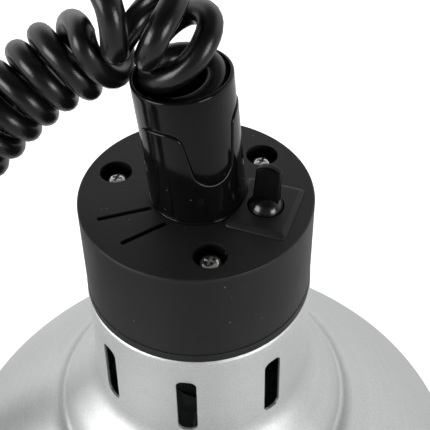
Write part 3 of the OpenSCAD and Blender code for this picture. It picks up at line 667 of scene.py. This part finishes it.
def shade_outline():
    """The shade's section: over the outside, round the rolled edge and back along the inside."""
    # The flare runs into the round at 45 degrees, and this is the sine of that slope
    tilt = math.sqrt(0.5)
    flare_end = (COLLAR_LOW_R + FLARE_R * (1 - tilt), FLARE_Z - FLARE_R * tilt)
    round_start = (flare_end[0] + FLARE_RUN, flare_end[1] - FLARE_RUN)
    round_centre = (round_start[0] - ROUND_R * tilt, round_start[1] - ROUND_R * tilt)
    end_angle = math.degrees(math.asin((LEDGE_Z - round_centre[1]) / ROUND_R))
    rounded = arc(round_centre, ROUND_R, 45, end_angle + ROUND_END, steps=14)
    ledge_in = on_circle(round_centre, ROUND_R, end_angle)
    ledge_out = (ledge_in[0] + LEDGE_W, LEDGE_Z - LEDGE_DROP)
    bead = np.array((RIM_R - BEAD_R, BEAD_R))
    dome_top = (ledge_out[0] + DOME_STEP_W, ledge_out[1] - DOME_STEP_H)
    dome = bulged(dome_top, on_circle(bead, BEAD_R, BEAD_START), DOME_BULGE, steps=40)
    corner_r = COLLAR_CORNER_R
    line = [(HOLDER_HOLE_R, SHADE_H), (HOLDER_HOLE_R + HOLE_MARGIN, SHADE_H)]
    line += [(COLLAR_TOP_R - CORNER_MARGIN, SHADE_H)]
    line += arc((COLLAR_TOP_R - corner_r, SHADE_H - corner_r), corner_r, 90, COLLAR_CORNER_END, steps=8)
    line += [
        (COLLAR_TOP_R + (COLLAR_LOW_R - COLLAR_TOP_R) * k / COLLAR_STEPS,
         COLLAR_WALL_TOP_Z - (COLLAR_WALL_TOP_Z - FLARE_Z) * k / COLLAR_STEPS)
        for k in range(1, COLLAR_STEPS)
    ]
    line += arc((COLLAR_LOW_R + FLARE_R, FLARE_Z), FLARE_R, 180, 225, steps=12)
    line += [(flare_end[0] + FLARE_RUN / 2, flare_end[1] - FLARE_RUN / 2)]
    line += rounded
    line += bent_corner(rounded[-3], ledge_in, ledge_out, LEDGE_IN_ROUND)
    line += bent_corner(ledge_in, ledge_out, dome[3], LEDGE_OUT_ROUND)
    line += dome[2:]
    open_angle = math.degrees(math.acos((BEAD_R - SHADE_WALL) / BEAD_R))
    roll = arc(bead, BEAD_R, BEAD_START, BEAD_START - 360 + open_angle, steps=32)[1:]
    inner = [tuple(p) for p in beside(line, SHADE_WALL) if np.linalg.norm(p - bead) > BEAD_R + BEAD_CLEAR]
    inner[0] = (HOLDER_HOLE_R, SHADE_H - SHADE_WALL)
    return line + roll + inner[::-1]


def rounded_outline(width, height, corner, steps=6):
    x, y = width / 2 - corner, height / 2 - corner
    return [
        p for cx, cy, start in ((x, y, 0), (-x, y, 90), (-x, -y, 180), (x, -y, 270))
        for p in arc((cx, cy), corner, start, start + 90, steps)
    ]


def make_shade():
    section = lathe(in_metres(shade_outline()), SHADE_SEGMENTS)
    shade = new_piece("spun_shade", *section, "lamp", "shade_aluminium", ["shade"])
    outward(shade)
    slot = in_metres(rounded_outline(SLOT_H, SLOT_W, SLOT_CORNER))
    for k in range(SLOT_COUNT):
        # The prism's X turns to point down and its Z to point outwards
        angle = math.radians(SLOT_FIRST + 360 * k / SLOT_COUNT)
        place = Matrix.Rotation(angle, 4, "Z") @ Matrix.Translation((0, 0, (SLOT_Z + SLOT_H / 2) * MM))
        tip = Matrix.Rotation(math.pi / 2, 4, "Y")
        cut(shade, prism(slot, SLOT_CUT_FROM_R * MM, SLOT_CUT_TO_R * MM, place @ tip))
    hole = in_metres(circle((0, 0), BRACKET_HOLE_R, 24))
    for angle in BRACKET_ANGLES:
        place = Matrix.Rotation(math.radians(angle), 4, "Z") @ Matrix.Translation((BRACKET_R * MM, 0, 0))
        cut(shade, prism(hole, BRACKET_CUT_LOW_Z * MM, BRACKET_CUT_HIGH_Z * MM, place))
    bevel(shade, SHADE_EDGE * MM, angle=55)
    smooth(shade, 40)
    return shade


# Screws with a cross recess. A pan head's seat, shoulder and crown are shares of its radius or height.
SEAT_R = 0.97
SEAT_EDGE_H = 0.12
SHOULDER_H = 0.35
CROWN_POWER = 0.55
CROWN_FROM = 0.05
CROWN_TO = math.pi / 2 - 0.12
HEAD_EDGE = 0.07 * MM
# The recess: its depth as a share of the head's height, and its arms as shares of the head's radius. The
# two pairs are how much of the arm's length and width are left at its floor and at its top.
CROSS_DEPTH = 0.55
CROSS_ARM = 0.56
CROSS_HALF_W = 0.13
CROSS_AT_FLOOR = (0.35, 0.8)
CROSS_AT_TOP = (1.06, 1.05)
CROSS_PAST_TOP = 0.3 * MM
# The turn of the first cross, and how much further each next one is turned
CROSS_TURN = 0.5
CROSS_TURN_STEP = 1.1
# The shank's tip, as shares of its radius, and how far the shank reaches into the head
TIP_R = 0.5
TIP_H = 0.6
SHANK_IN_HEAD = 0.2 * MM


def pan_head(head_r, head_h, turn):
    """A pan head with a cross recess, its seat at z = 0."""
    outline = [(0, 0), (head_r * SEAT_R, 0), (head_r, SEAT_EDGE_H * head_h)]
    outline += [
        (head_r * math.cos(a) ** CROWN_POWER, SHOULDER_H * head_h + (1 - SHOULDER_H) * head_h * math.sin(a))
        for a in np.linspace(CROWN_FROM, CROWN_TO, 9)
    ]
    outline += [(0, head_h)]
    head = loose("head", *lathe(outline, 48))
    arm, thin = head_r * CROSS_ARM, head_r * CROSS_HALF_W
    floor_z = head_h - CROSS_DEPTH * head_h
    for bar in (0, 1):
        cross = []
        for z, (long, wide) in ((floor_z, CROSS_AT_FLOOR), (head_h + CROSS_PAST_TOP, CROSS_AT_TOP)):
            a, t = arm * long, thin * wide
            cross += [(-a, -t, z), (a, -t, z), (a, t, z), (-a, t, z)]
        rotation = Matrix.Rotation(turn + bar * math.pi / 2, 4, "Z")
        block = loose(
            "cross", [rotation @ Vector(p) for p in cross],
            [(0, 1, 2, 3), (4, 5, 6, 7), (0, 1, 5, 4), (1, 2, 6, 5), (2, 3, 7, 6), (3, 0, 4, 7)],
        )
        cut(head, block)
    return head


def screws_at(name, node, places, head_r, head_h, shank_r, shank_length):
    """One piece of several screws. Each place is a matrix whose Z is the screw's axis, out of the head."""
    shank = [
        (0, -shank_length), (shank_r * TIP_R, -shank_length), (shank_r, -shank_length + shank_r * TIP_H),
        (shank_r, SHANK_IN_HEAD), (0, SHANK_IN_HEAD)
    ]
    vertices, faces = [], []
    for k, place in enumerate(places):
        head = pan_head(head_r, head_h, CROSS_TURN + CROSS_TURN_STEP * k)
        cut(head, loose("thread", *lathe(shank, 24)), "UNION")
        bevel(head, HEAD_EDGE, angle=50)
        head.data.transform(place)
        base = len(vertices)
        vertices += [tuple(v.co) for v in head.data.vertices]
        faces += [tuple(base + i for i in p.vertices) for p in head.data.polygons]
        bpy.data.objects.remove(head)
    piece = new_piece(name, vertices, faces, "lamp", "screw_steel", [node])
    outward(piece)
    smooth(piece, 30)
    return piece


SCREW_CIRCLE_R = 33.5 * MM
SCREW_ANGLES = (37, 157, 277)
WELL_FLOOR_Z = 192.9 * MM
HEAD_R = 4.25 * MM
HEAD_H = 3 * MM
SHANK_R = 2 * MM
SHANK_L = 37 * MM


def make_housing_screws():
    places = [
        Matrix.Rotation(math.radians(a), 4, "Z") @ Matrix.Translation((SCREW_CIRCLE_R, 0, WELL_FLOOR_Z))
        for a in SCREW_ANGLES
    ]
    return screws_at("housing_pan_screws", "housing_screws", places, HEAD_R, HEAD_H, SHANK_R, SHANK_L)


# Lampholder with its fluted grip, in millimetres
HOLDER_R = 20
HOLDER_LOW_Z = 92
HOLDER_SHOULDER_Z = 150.8
HOLDER_TOP_Z = 172
HOLDER_UPPER_R = 16.4
LOW_EDGE = 0.6
SHOULDER_EDGE = 0.8
TOP_EDGE = 0.5
SKIRT_BORE_R = 18
SKIRT_TOP_Z = 112
SOCKET_R = 15.2
SOCKET_ROOF_Z = 160
WIRE_HOLE_X = 6
WIRE_HOLE_R = 1.4
# Heights of the rings of points up the grip, and the heights between which it has ribs
GRIP_LEVELS = (96, 97, 110, 125, 146, 147, 150)
RIB_LOW_Z = 96.5
RIB_HIGH_Z = 146.5
HOLDER_RIBS = 84
RIB_DEPTH = 0.55
RIB_POWER = 1.5
POINTS_PER_RIB = 8
GRIP_TOLERANCE = 0.1


def make_holder():
    outline = [(SKIRT_BORE_R, HOLDER_LOW_Z), (HOLDER_R - LOW_EDGE, HOLDER_LOW_Z)]
    outline += [(HOLDER_R, HOLDER_LOW_Z + LOW_EDGE)] + [(HOLDER_R, z) for z in GRIP_LEVELS]
    outline += [
        (HOLDER_R - SHOULDER_EDGE, HOLDER_SHOULDER_Z), (HOLDER_UPPER_R, HOLDER_SHOULDER_Z),
        (HOLDER_UPPER_R, HOLDER_TOP_Z - TOP_EDGE), (HOLDER_UPPER_R - TOP_EDGE, HOLDER_TOP_Z),
        (0, HOLDER_TOP_Z), (0, SOCKET_ROOF_Z), (SOCKET_R, SOCKET_ROOF_Z), (SOCKET_R, SKIRT_TOP_Z),
        (SKIRT_BORE_R, SKIRT_TOP_Z)
    ]

    def ribbed(r, z, angle):
        if r < (HOLDER_R - GRIP_TOLERANCE) * MM or not RIB_LOW_Z * MM < z < RIB_HIGH_Z * MM:
            return r
        return r - RIB_DEPTH * MM * (1 - abs(math.sin(HOLDER_RIBS * angle / 2))) ** RIB_POWER

    turned = lathe(in_metres(outline), HOLDER_RIBS * POINTS_PER_RIB, ribbed)
    holder = new_piece("fluted_holder", *turned, "lamp", "holder_black", ["holder_body"])
    outward(holder)
    for x in (-WIRE_HOLE_X, WIRE_HOLE_X):
        hole = in_metres(circle((x, 0), WIRE_HOLE_R, 24))
        cut(holder, prism(hole, (SOCKET_ROOF_Z - 1) * MM, (HOLDER_TOP_Z + 1) * MM, Matrix.Identity(4)))
    smooth(holder, 50)
    return holder


# Switch lever: a ball foot and a flat paddle with an arched top
SWITCH_ANGLE = math.radians(-22.3)
SWITCH_R = 27.6 * MM
PIVOT_Z = 199.0 * MM
LEVER_LEAN = math.radians(10)
BALL_R = 6.6 * MM
BALL_POLE_ANGLE = 86
STEM_LOW = 15 * MM
STEM_TOP = 4 * MM
STEM_R = 1.8 * MM
STEM_TIP_R = 1.3 * MM
STEM_EDGE = 0.5 * MM
# The paddle's faces are this far in front of the pivot and behind it, and come nearer towards its top
PADDLE_FRONT = 2.45 * MM
PADDLE_BACK = 2.15 * MM
PADDLE_EDGE = 1.0 * MM
PADDLE_FROM_Z = 205 * MM
# Its outline, in millimetres
PADDLE_LOW = 1.5
PADDLE_CORNER_H = 16.3
PADDLE_TOP = 18
PADDLE_HALF_LOW = 5.0
PADDLE_HALF_HIGH = 4.55
PADDLE_THINNING = 0.35


def paddle_outline():
    """The paddle seen from the front, in millimetres: a little narrower above, with an arched top."""
    rise = PADDLE_TOP - PADDLE_CORNER_H
    r = (PADDLE_HALF_HIGH**2 + rise**2) / (2 * rise)
    edge = math.degrees(math.asin(PADDLE_HALF_HIGH / r))
    top = arc((0, PADDLE_TOP - r), r, 90 - edge, 90 + edge, steps=14)
    return [(-PADDLE_HALF_LOW, PADDLE_LOW), (PADDLE_HALF_LOW, PADDLE_LOW)] + top


def make_lever():
    outline = in_metres(paddle_outline())
    slope = PADDLE_THINNING / PADDLE_TOP
    n = len(outline)
    vertices = [
        (x, side * (depth - slope * z), z)
        for side, depth in ((-1, PADDLE_FRONT), (1, PADDLE_BACK)) for x, z in outline
    ]
    faces = [tuple(range(n)), tuple(range(2 * n - 1, n - 1, -1))]
    faces += [(k, (k + 1) % n, n + (k + 1) % n, n + k) for k in range(n)]
    paddle = loose("paddle", vertices, faces)
    bevel(paddle, PADDLE_EDGE, segments=5, angle=50)
    half = [(0, -BALL_R)] + arc((0, 0), BALL_R, -BALL_POLE_ANGLE, BALL_POLE_ANGLE, steps=40) + [(0, BALL_R)]
    ball = loose("ball", *lathe(half, 64))
    stem = [
        (0, -STEM_LOW), (STEM_TIP_R, -STEM_LOW), (STEM_R, -STEM_LOW + STEM_EDGE), (STEM_R, -STEM_TOP),
        (0, -STEM_TOP)
    ]
    cut(ball, loose("stem", *lathe(stem, 32)), "UNION")
    cut(ball, paddle, "UNION")
    ball.data.transform(at_switch(PIVOT_Z) @ Matrix.Rotation(-LEVER_LEAN, 4, "X"))
    lever = taken_over("lever_paddle", ball, "lever", "lever_black", ["switch_lever"])
    smooth(lever, 35)
    return lever


# Switch plate, in millimetres
PLATE_W = 23
PLATE_L = 28.5
PLATE_H = 1.5
PLATE_BEVEL = 2.2
PLATE_CORNER_R = 2
PLATE_CORNER_LOSS = 1.2
# The bevel's foot and the flat run past its top, and how far each corner between them is rounded
PLATE_FOOT = (0.05, 0.35)
PLATE_RUN = 2
PLATE_FOOT_ROUND = 0.3
PLATE_TOP_ROUND = 0.35
PLATE_HOLE_R = 6.9
ROOF_Z = 198.9 * MM


def make_plate():
    bevel_top = (PLATE_BEVEL, PLATE_H)
    levels = [(0, 0)] + bent_corner((0, 0), PLATE_FOOT, bevel_top, PLATE_FOOT_ROUND)
    levels += bent_corner(PLATE_FOOT, bevel_top, (PLATE_BEVEL + PLATE_RUN, PLATE_H), PLATE_TOP_ROUND)
    rings = []
    for inset, z in levels:
        corner = PLATE_CORNER_R - PLATE_CORNER_LOSS * min(inset / PLATE_BEVEL, 1)
        outline = rounded_outline(PLATE_W - 2 * inset, PLATE_L - 2 * inset, corner)
        rings.append([(x * MM, y * MM, z * MM) for x, y in outline])
    n = len(rings[0])
    last = n * (len(rings) - 1)
    faces = [tuple(range(n)), tuple(range(last, last + n))]
    faces += [
        (i + k, i + (k + 1) % n, i + n + (k + 1) % n, i + n + k) for i in range(0, last, n) for k in range(n)
    ]
    plate = loose("plate", [p for ring in rings for p in ring], faces)
    plate.data.transform(at_switch(ROOF_Z))
    hole = in_metres(circle((0, 0), PLATE_HOLE_R, 96))
    cut(plate, prism(hole, -1 * MM, 3 * MM, at_switch(ROOF_Z)))
    foot = circle((0, 0), FOOT_CLEAR_R, 128)
    cut(plate, prism(foot, -4 * MM, 6 * MM, on_neck()))
    piece = taken_over("bevelled_plate", plate, "lamp", "housing_black", ["switch_plate"])
    smooth(piece, 30)
    return piece


# Neck: a sleeve with three deep notches, and a tube whose three tongues fill them
NECK_FOOT_X = 0.9 * MM
NECK_LEAN = math.radians(4.6)
SLEEVE_R = 18.1 * MM
TUBE_R = 17.6 * MM
NECK_BORE_R = 16.4 * MM
NECK_FLOOR_H = 3 * MM
CORD_HOLE_R = 4.45 * MM
FOOT_LIP_R = 18.6 * MM
FOOT_LIP_H = 1.1 * MM
FOOT_ROUND = 0.5 * MM
FOOT_CLEAR_R = 18.75 * MM
CREST_H = 40.8 * MM
MOUTH_H = 53.5 * MM
MOUTH_ROUND = 0.8 * MM
NOTCH_LOW = 17.2 * MM
NOTCH_R = 7.85 * MM
NOTCH_LEAN = 8
NOTCH_CORNER_R = 5 * MM
NOTCH_ANGLES = (-64, 56, 176)
SEAM_STEP = 0.45 * MM
SEAM_GAP = 0.1 * MM
SLEEVE_EDGE = 0.7 * MM
EDGE_CLEAR = 0.25 * MM
LIP_CLEAR = 0.05 * MM
TUBE_EDGE = 0.3 * MM
NIPPLE_R = 7 * MM
NIPPLE_LOW_Z = 186 * MM


def on_neck():
    """The neck's own frame, which leans and stands on the housing's roof."""
    return Matrix.Translation((NECK_FOOT_X, 0, ROOF_Z)) @ Matrix.Rotation(-NECK_LEAN, 4, "Y")


def seam_line():
    """The seam unrolled flat: columns of girth and height, and the unit way from each towards the sleeve."""
    centre_h = NOTCH_LOW + NOTCH_R
    lean = math.radians(NOTCH_LEAN)
    rise = CREST_H - NOTCH_CORNER_R + (NOTCH_CORNER_R + NOTCH_R) * math.sin(lean) - centre_h
    corner_x = (NOTCH_CORNER_R + NOTCH_R) * math.cos(lean) + rise * math.tan(lean)
    flat = arc((0, centre_h), NOTCH_R, -90, -NOTCH_LEAN, 24)
    flat += arc((corner_x, CREST_H - NOTCH_CORNER_R), NOTCH_CORNER_R, 180 - NOTCH_LEAN, 90, 16)
    half = [(SLEEVE_R * math.asin(x / SLEEVE_R), h) for x, h in flat]
    line = []
    for angle in NOTCH_ANGLES:
        middle = SLEEVE_R * math.radians(angle)
        line += [(middle - g, h) for g, h in half[::-1]] + [(middle + g, h) for g, h in half[1:]]
    girth = 2 * math.pi * SLEEVE_R
    line.append((line[0][0] + girth, line[0][1]))
    line = np.array(line)
    run = np.concatenate([[0], np.cumsum(np.linalg.norm(np.diff(line, axis=0), axis=1))])
    count = round(run[-1] / SEAM_STEP)
    at = np.linspace(0, run[-1], count, endpoint=False)
    seam = np.stack([np.interp(at, run, line[:, 0]), np.interp(at, run, line[:, 1])], axis=1)
    ahead, behind = np.roll(seam, -1, axis=0), np.roll(seam, 1, axis=0)
    ahead[-1, 0] += girth
    behind[0, 0] -= girth
    way = ahead - behind
    way /= np.linalg.norm(way, axis=1)[:, None]
    return seam, np.stack([way[:, 1], -way[:, 0]], axis=1)


def roof_height(r, girth):
    """Height of the housing's roof in the leaning neck's own frame."""
    return -r * np.cos(girth / SLEEVE_R) * math.tan(NECK_LEAN)


def wrapped(rows):
    """A closed mesh from rows of (radius, girths, heights) in their order round the wall's section."""
    count = len(rows[0][1])
    vertices = []
    for r, girth, height in rows:
        angle = girth / SLEEVE_R
        height = np.broadcast_to(height, angle.shape)
        vertices += list(zip(r * np.cos(angle), r * np.sin(angle), height))
    faces = []
    for i in range(len(rows)):
        low, high = i * count, (i + 1) % len(rows) * count
        faces += [(low + k, low + (k + 1) % count, high + (k + 1) % count, high + k) for k in range(count)]
    return vertices, faces


def quarter(steps=5):
    """Sines and cosines over a quarter turn."""
    return [(math.sin(a), math.cos(a)) for a in np.linspace(0, math.pi / 2, steps)]


def between(start, end, steps, r):
    """Rows at one radius from one (girths, heights) to another, without the first and with the last."""
    return [
        (r, start[0] + (end[0] - start[0]) * k / steps, start[1] + (end[1] - start[1]) * k / steps)
        for k in range(1, steps + 1)
    ]


def make_sleeve():
    seam, way = seam_line()
    girth, height = seam[:, 0], seam[:, 1]
    lip_low = roof_height(FOOT_LIP_R, girth)
    rows = [(CORD_HOLE_R, girth, roof_height(CORD_HOLE_R, girth)), (FOOT_LIP_R, girth, lip_low)]
    rows += [
        (FOOT_LIP_R - FOOT_ROUND * (1 - c), girth, lip_low + FOOT_LIP_H - FOOT_ROUND * (1 - s))
        for s, c in quarter()
    ]
    foot = (girth, lip_low + FOOT_LIP_H + LIP_CLEAR)
    inset = SLEEVE_EDGE + EDGE_CLEAR
    edge = (girth + inset * way[:, 0], height + inset * way[:, 1])
    rows += [(SLEEVE_R, *foot)] + between(foot, edge, 10, SLEEVE_R)
    for s, c in quarter(6):
        d = SLEEVE_EDGE * (1 - s)
        rows.append((SLEEVE_R - SLEEVE_EDGE * (1 - c), girth + d * way[:, 0], height + d * way[:, 1]))
    rows.append((NECK_BORE_R, girth, height))
    rows += between((girth, height), (girth, np.full_like(height, NECK_FLOOR_H)), 3, NECK_BORE_R)
    rows.append((CORD_HOLE_R, girth, NECK_FLOOR_H))
    vertices, faces = wrapped(rows)
    vertices = [on_neck() @ Vector(v) for v in vertices]
    section = [
        (CORD_HOLE_R, NIPPLE_LOW_Z), (NIPPLE_R, NIPPLE_LOW_Z), (NIPPLE_R, ROOF_Z), (CORD_HOLE_R, ROOF_Z)
    ]
    nipple, nipple_faces = lathe(section, 48)
    base = len(vertices)
    vertices += [(x + NECK_FOOT_X, y, z) for x, y, z in nipple]
    faces += [tuple(base + i for i in face) for face in nipple_faces]
    piece = new_piece("notched_sleeve", vertices, faces, "lamp", "neck_black", ["neck_sleeve"])
    outward(piece)
    smooth(piece, 50)
    return piece


def make_tube():
    seam, way = seam_line()
    girth, height = seam[:, 0] - SEAM_GAP * way[:, 0], seam[:, 1] - SEAM_GAP * way[:, 1]
    rows = [(NECK_BORE_R, girth, height)]
    for s, c in quarter():
        d = TUBE_EDGE * s
        rows.append((TUBE_R - TUBE_EDGE * (1 - s), girth - TUBE_EDGE * (1 - c) * way[:, 0],
                     height - TUBE_EDGE * (1 - c) * way[:, 1]))
    edge = (girth - TUBE_EDGE * way[:, 0], height - TUBE_EDGE * way[:, 1])
    top = (seam[:, 0], np.full_like(height, MOUTH_H - MOUTH_ROUND))
    rows += between(edge, top, 8, TUBE_R)
    rows += [
        (TUBE_R - MOUTH_ROUND * (1 - c), seam[:, 0], MOUTH_H - MOUTH_ROUND * (1 - s))
        for s, c in quarter()[1:]
    ]
    rows += [
        (NECK_BORE_R + TUBE_EDGE * (1 - s), seam[:, 0], MOUTH_H - TUBE_EDGE * (1 - c)) for s, c in quarter()
    ]
    inner_top = (seam[:, 0], np.full_like(height, MOUTH_H - TUBE_EDGE))
    rows += between(inner_top, (girth, height), 4, NECK_BORE_R)[:-1]
    vertices, faces = wrapped(rows)
    vertices = [on_neck() @ Vector(v) for v in vertices]
    piece = new_piece("tongued_tube", vertices, faces, "lamp", "neck_black", ["neck_tube"])
    outward(piece)
    smooth(piece, 50)
    return piece


# Floor, light and background
FLOOR_SIZE = 12
FLOOR_GREY = 0.6
# The floor doesn't glow inside the shade's mouth, and starts to over a narrow band
SHADE_MOUTH_R = 0.13
MOUTH_BAND = 0.003
# What gloss mirrors of the floor's glow, from in front of the lamp to behind it
GLOW_FRONT_Y = -0.4
GLOW_BACK_Y = 0.05
GLOW_FRONT = 0.05
GLOW_BACK = 0.4
# The studio's brightness: white behind and at the horizon, and dark in front and overhead
STUDIO_DARK = 0.16
STUDIO_WHITE = 1.0
STUDIO_HORIZON = 1.1
DARK_FROM_Z = 0.45
DARK_TO_Z = 0.8
DARK_BEFORE_Y = -0.4
WHITE_FROM_Y = 0.15
# The height that the lights are turned to
LAMP_MIDDLE_Z = 0.18


def seen_rays(tree, glossy):
    """1 for camera and transmission rays, a smaller share for glossy rays, and 0 for the rest."""
    path = tree.nodes.new("ShaderNodeLightPath")
    seen = arithmetic(tree, "MAXIMUM", path.outputs["Is Camera Ray"], path.outputs["Is Transmission Ray"])
    share = arithmetic(tree, "MULTIPLY", path.outputs["Is Glossy Ray"], glossy)
    return arithmetic(tree, "MAXIMUM", seen, share)


def make_world():
    """A white studio behind and beside the lamp that turns dark overhead and in front."""
    world = bpy.data.worlds.new("studio")
    world.use_nodes = True
    tree = world.node_tree
    way = parts(tree, tree.nodes.new("ShaderNodeTexCoord").outputs["Generated"])
    overhead = spread(tree, way["Z"], DARK_FROM_Z, DARK_TO_Z, STUDIO_HORIZON, STUDIO_DARK)
    in_front = spread(tree, way["Y"], DARK_BEFORE_Y, WHITE_FROM_Y, STUDIO_DARK, STUDIO_WHITE)
    studio = arithmetic(tree, "MULTIPLY", overhead, in_front)
    strength = arithmetic(tree, "MAXIMUM", studio, seen_rays(tree, 0.0))
    background = tree.nodes["Background"]
    background.inputs["Color"].default_value = (1, 1, 1, 1)
    tree.links.new(strength, background.inputs["Strength"])
    scene.world = world


def make_floor():
    """A pale floor that looks white, and stays dark inside the shade."""
    half = FLOOR_SIZE / 2
    corners = [(-half, -half, 0), (half, -half, 0), (half, half, 0), (-half, half, 0)]
    mesh = bpy.data.meshes.new("floor")
    mesh.from_pydata(corners, [], [(0, 1, 2, 3)])
    floor = bpy.data.objects.new("floor", mesh)
    scene.collection.objects.link(floor)
    material = bpy.data.materials.new("floor_white")
    material.use_nodes = True
    tree = material.node_tree
    shader = tree.nodes["Principled BSDF"]
    shader.inputs["Base Color"].default_value = (FLOOR_GREY, FLOOR_GREY, FLOOR_GREY, 1)
    shader.inputs["Roughness"].default_value = 0.9
    shader.inputs["Specular IOR Level"].default_value = 0.1
    shader.inputs["Emission Color"].default_value = (1, 1, 1, 1)
    place = tree.nodes.new("ShaderNodeTexCoord").outputs["Object"]
    radius = vector_math(tree, "LENGTH", place).outputs["Value"]
    outside = spread(tree, radius, SHADE_MOUTH_R, SHADE_MOUTH_R + MOUTH_BAND, 0, 1)
    mirrored = spread(tree, parts(tree, place)["Y"], GLOW_FRONT_Y, GLOW_BACK_Y, GLOW_FRONT, GLOW_BACK)
    glow = arithmetic(tree, "MULTIPLY", seen_rays(tree, mirrored), outside)
    tree.links.new(glow, shader.inputs["Emission Strength"])
    mesh.materials.append(material)


def softbox(name, way, distance, width, height, power):
    """A rectangular light that looks at the lamp from the direction way."""
    data = bpy.data.lights.new(name, "AREA")
    data.shape = "RECTANGLE"
    data.size = width
    data.size_y = height
    data.energy = power
    lamp = bpy.data.objects.new(name, data)
    way = Vector(way).normalized()
    place = Vector((0, 0, LAMP_MIDDLE_Z)) + distance * way
    lamp.matrix_world = Matrix.Translation(place) @ (-way).to_track_quat("-Z", "Y").to_matrix().to_4x4()
    lamp.visible_camera = False
    scene.collection.objects.link(lamp)


def make_lights():
    softbox("left_box", (-0.86, -0.42, 0.28), distance=1.35, width=0.8, height=0.7, power=13)
    softbox("right_box", (0.68, -0.72, 0.14), distance=1.35, width=0.6, height=0.5, power=8)


make_camera()
cord = make_cord()
materials = make_materials()
dress_nodes(materials)
dress(cord, materials["cord_black"])
dress(make_shade(), materials["shade_aluminium"])
dress(make_housing_screws(), materials["screw_steel"])
dress(make_holder(), materials["holder_black"])
lever = make_lever()
dress(lever, materials["lever_black"])
dress_above(lever, materials["paddle_black"], PADDLE_FROM_Z)
dress(make_plate(), materials["housing_black"])
dress(make_sleeve(), materials["neck_black"])
dress(make_tube(), materials["neck_black"])
make_world()
make_floor()
make_lights()

bpy.context.view_layer.update()
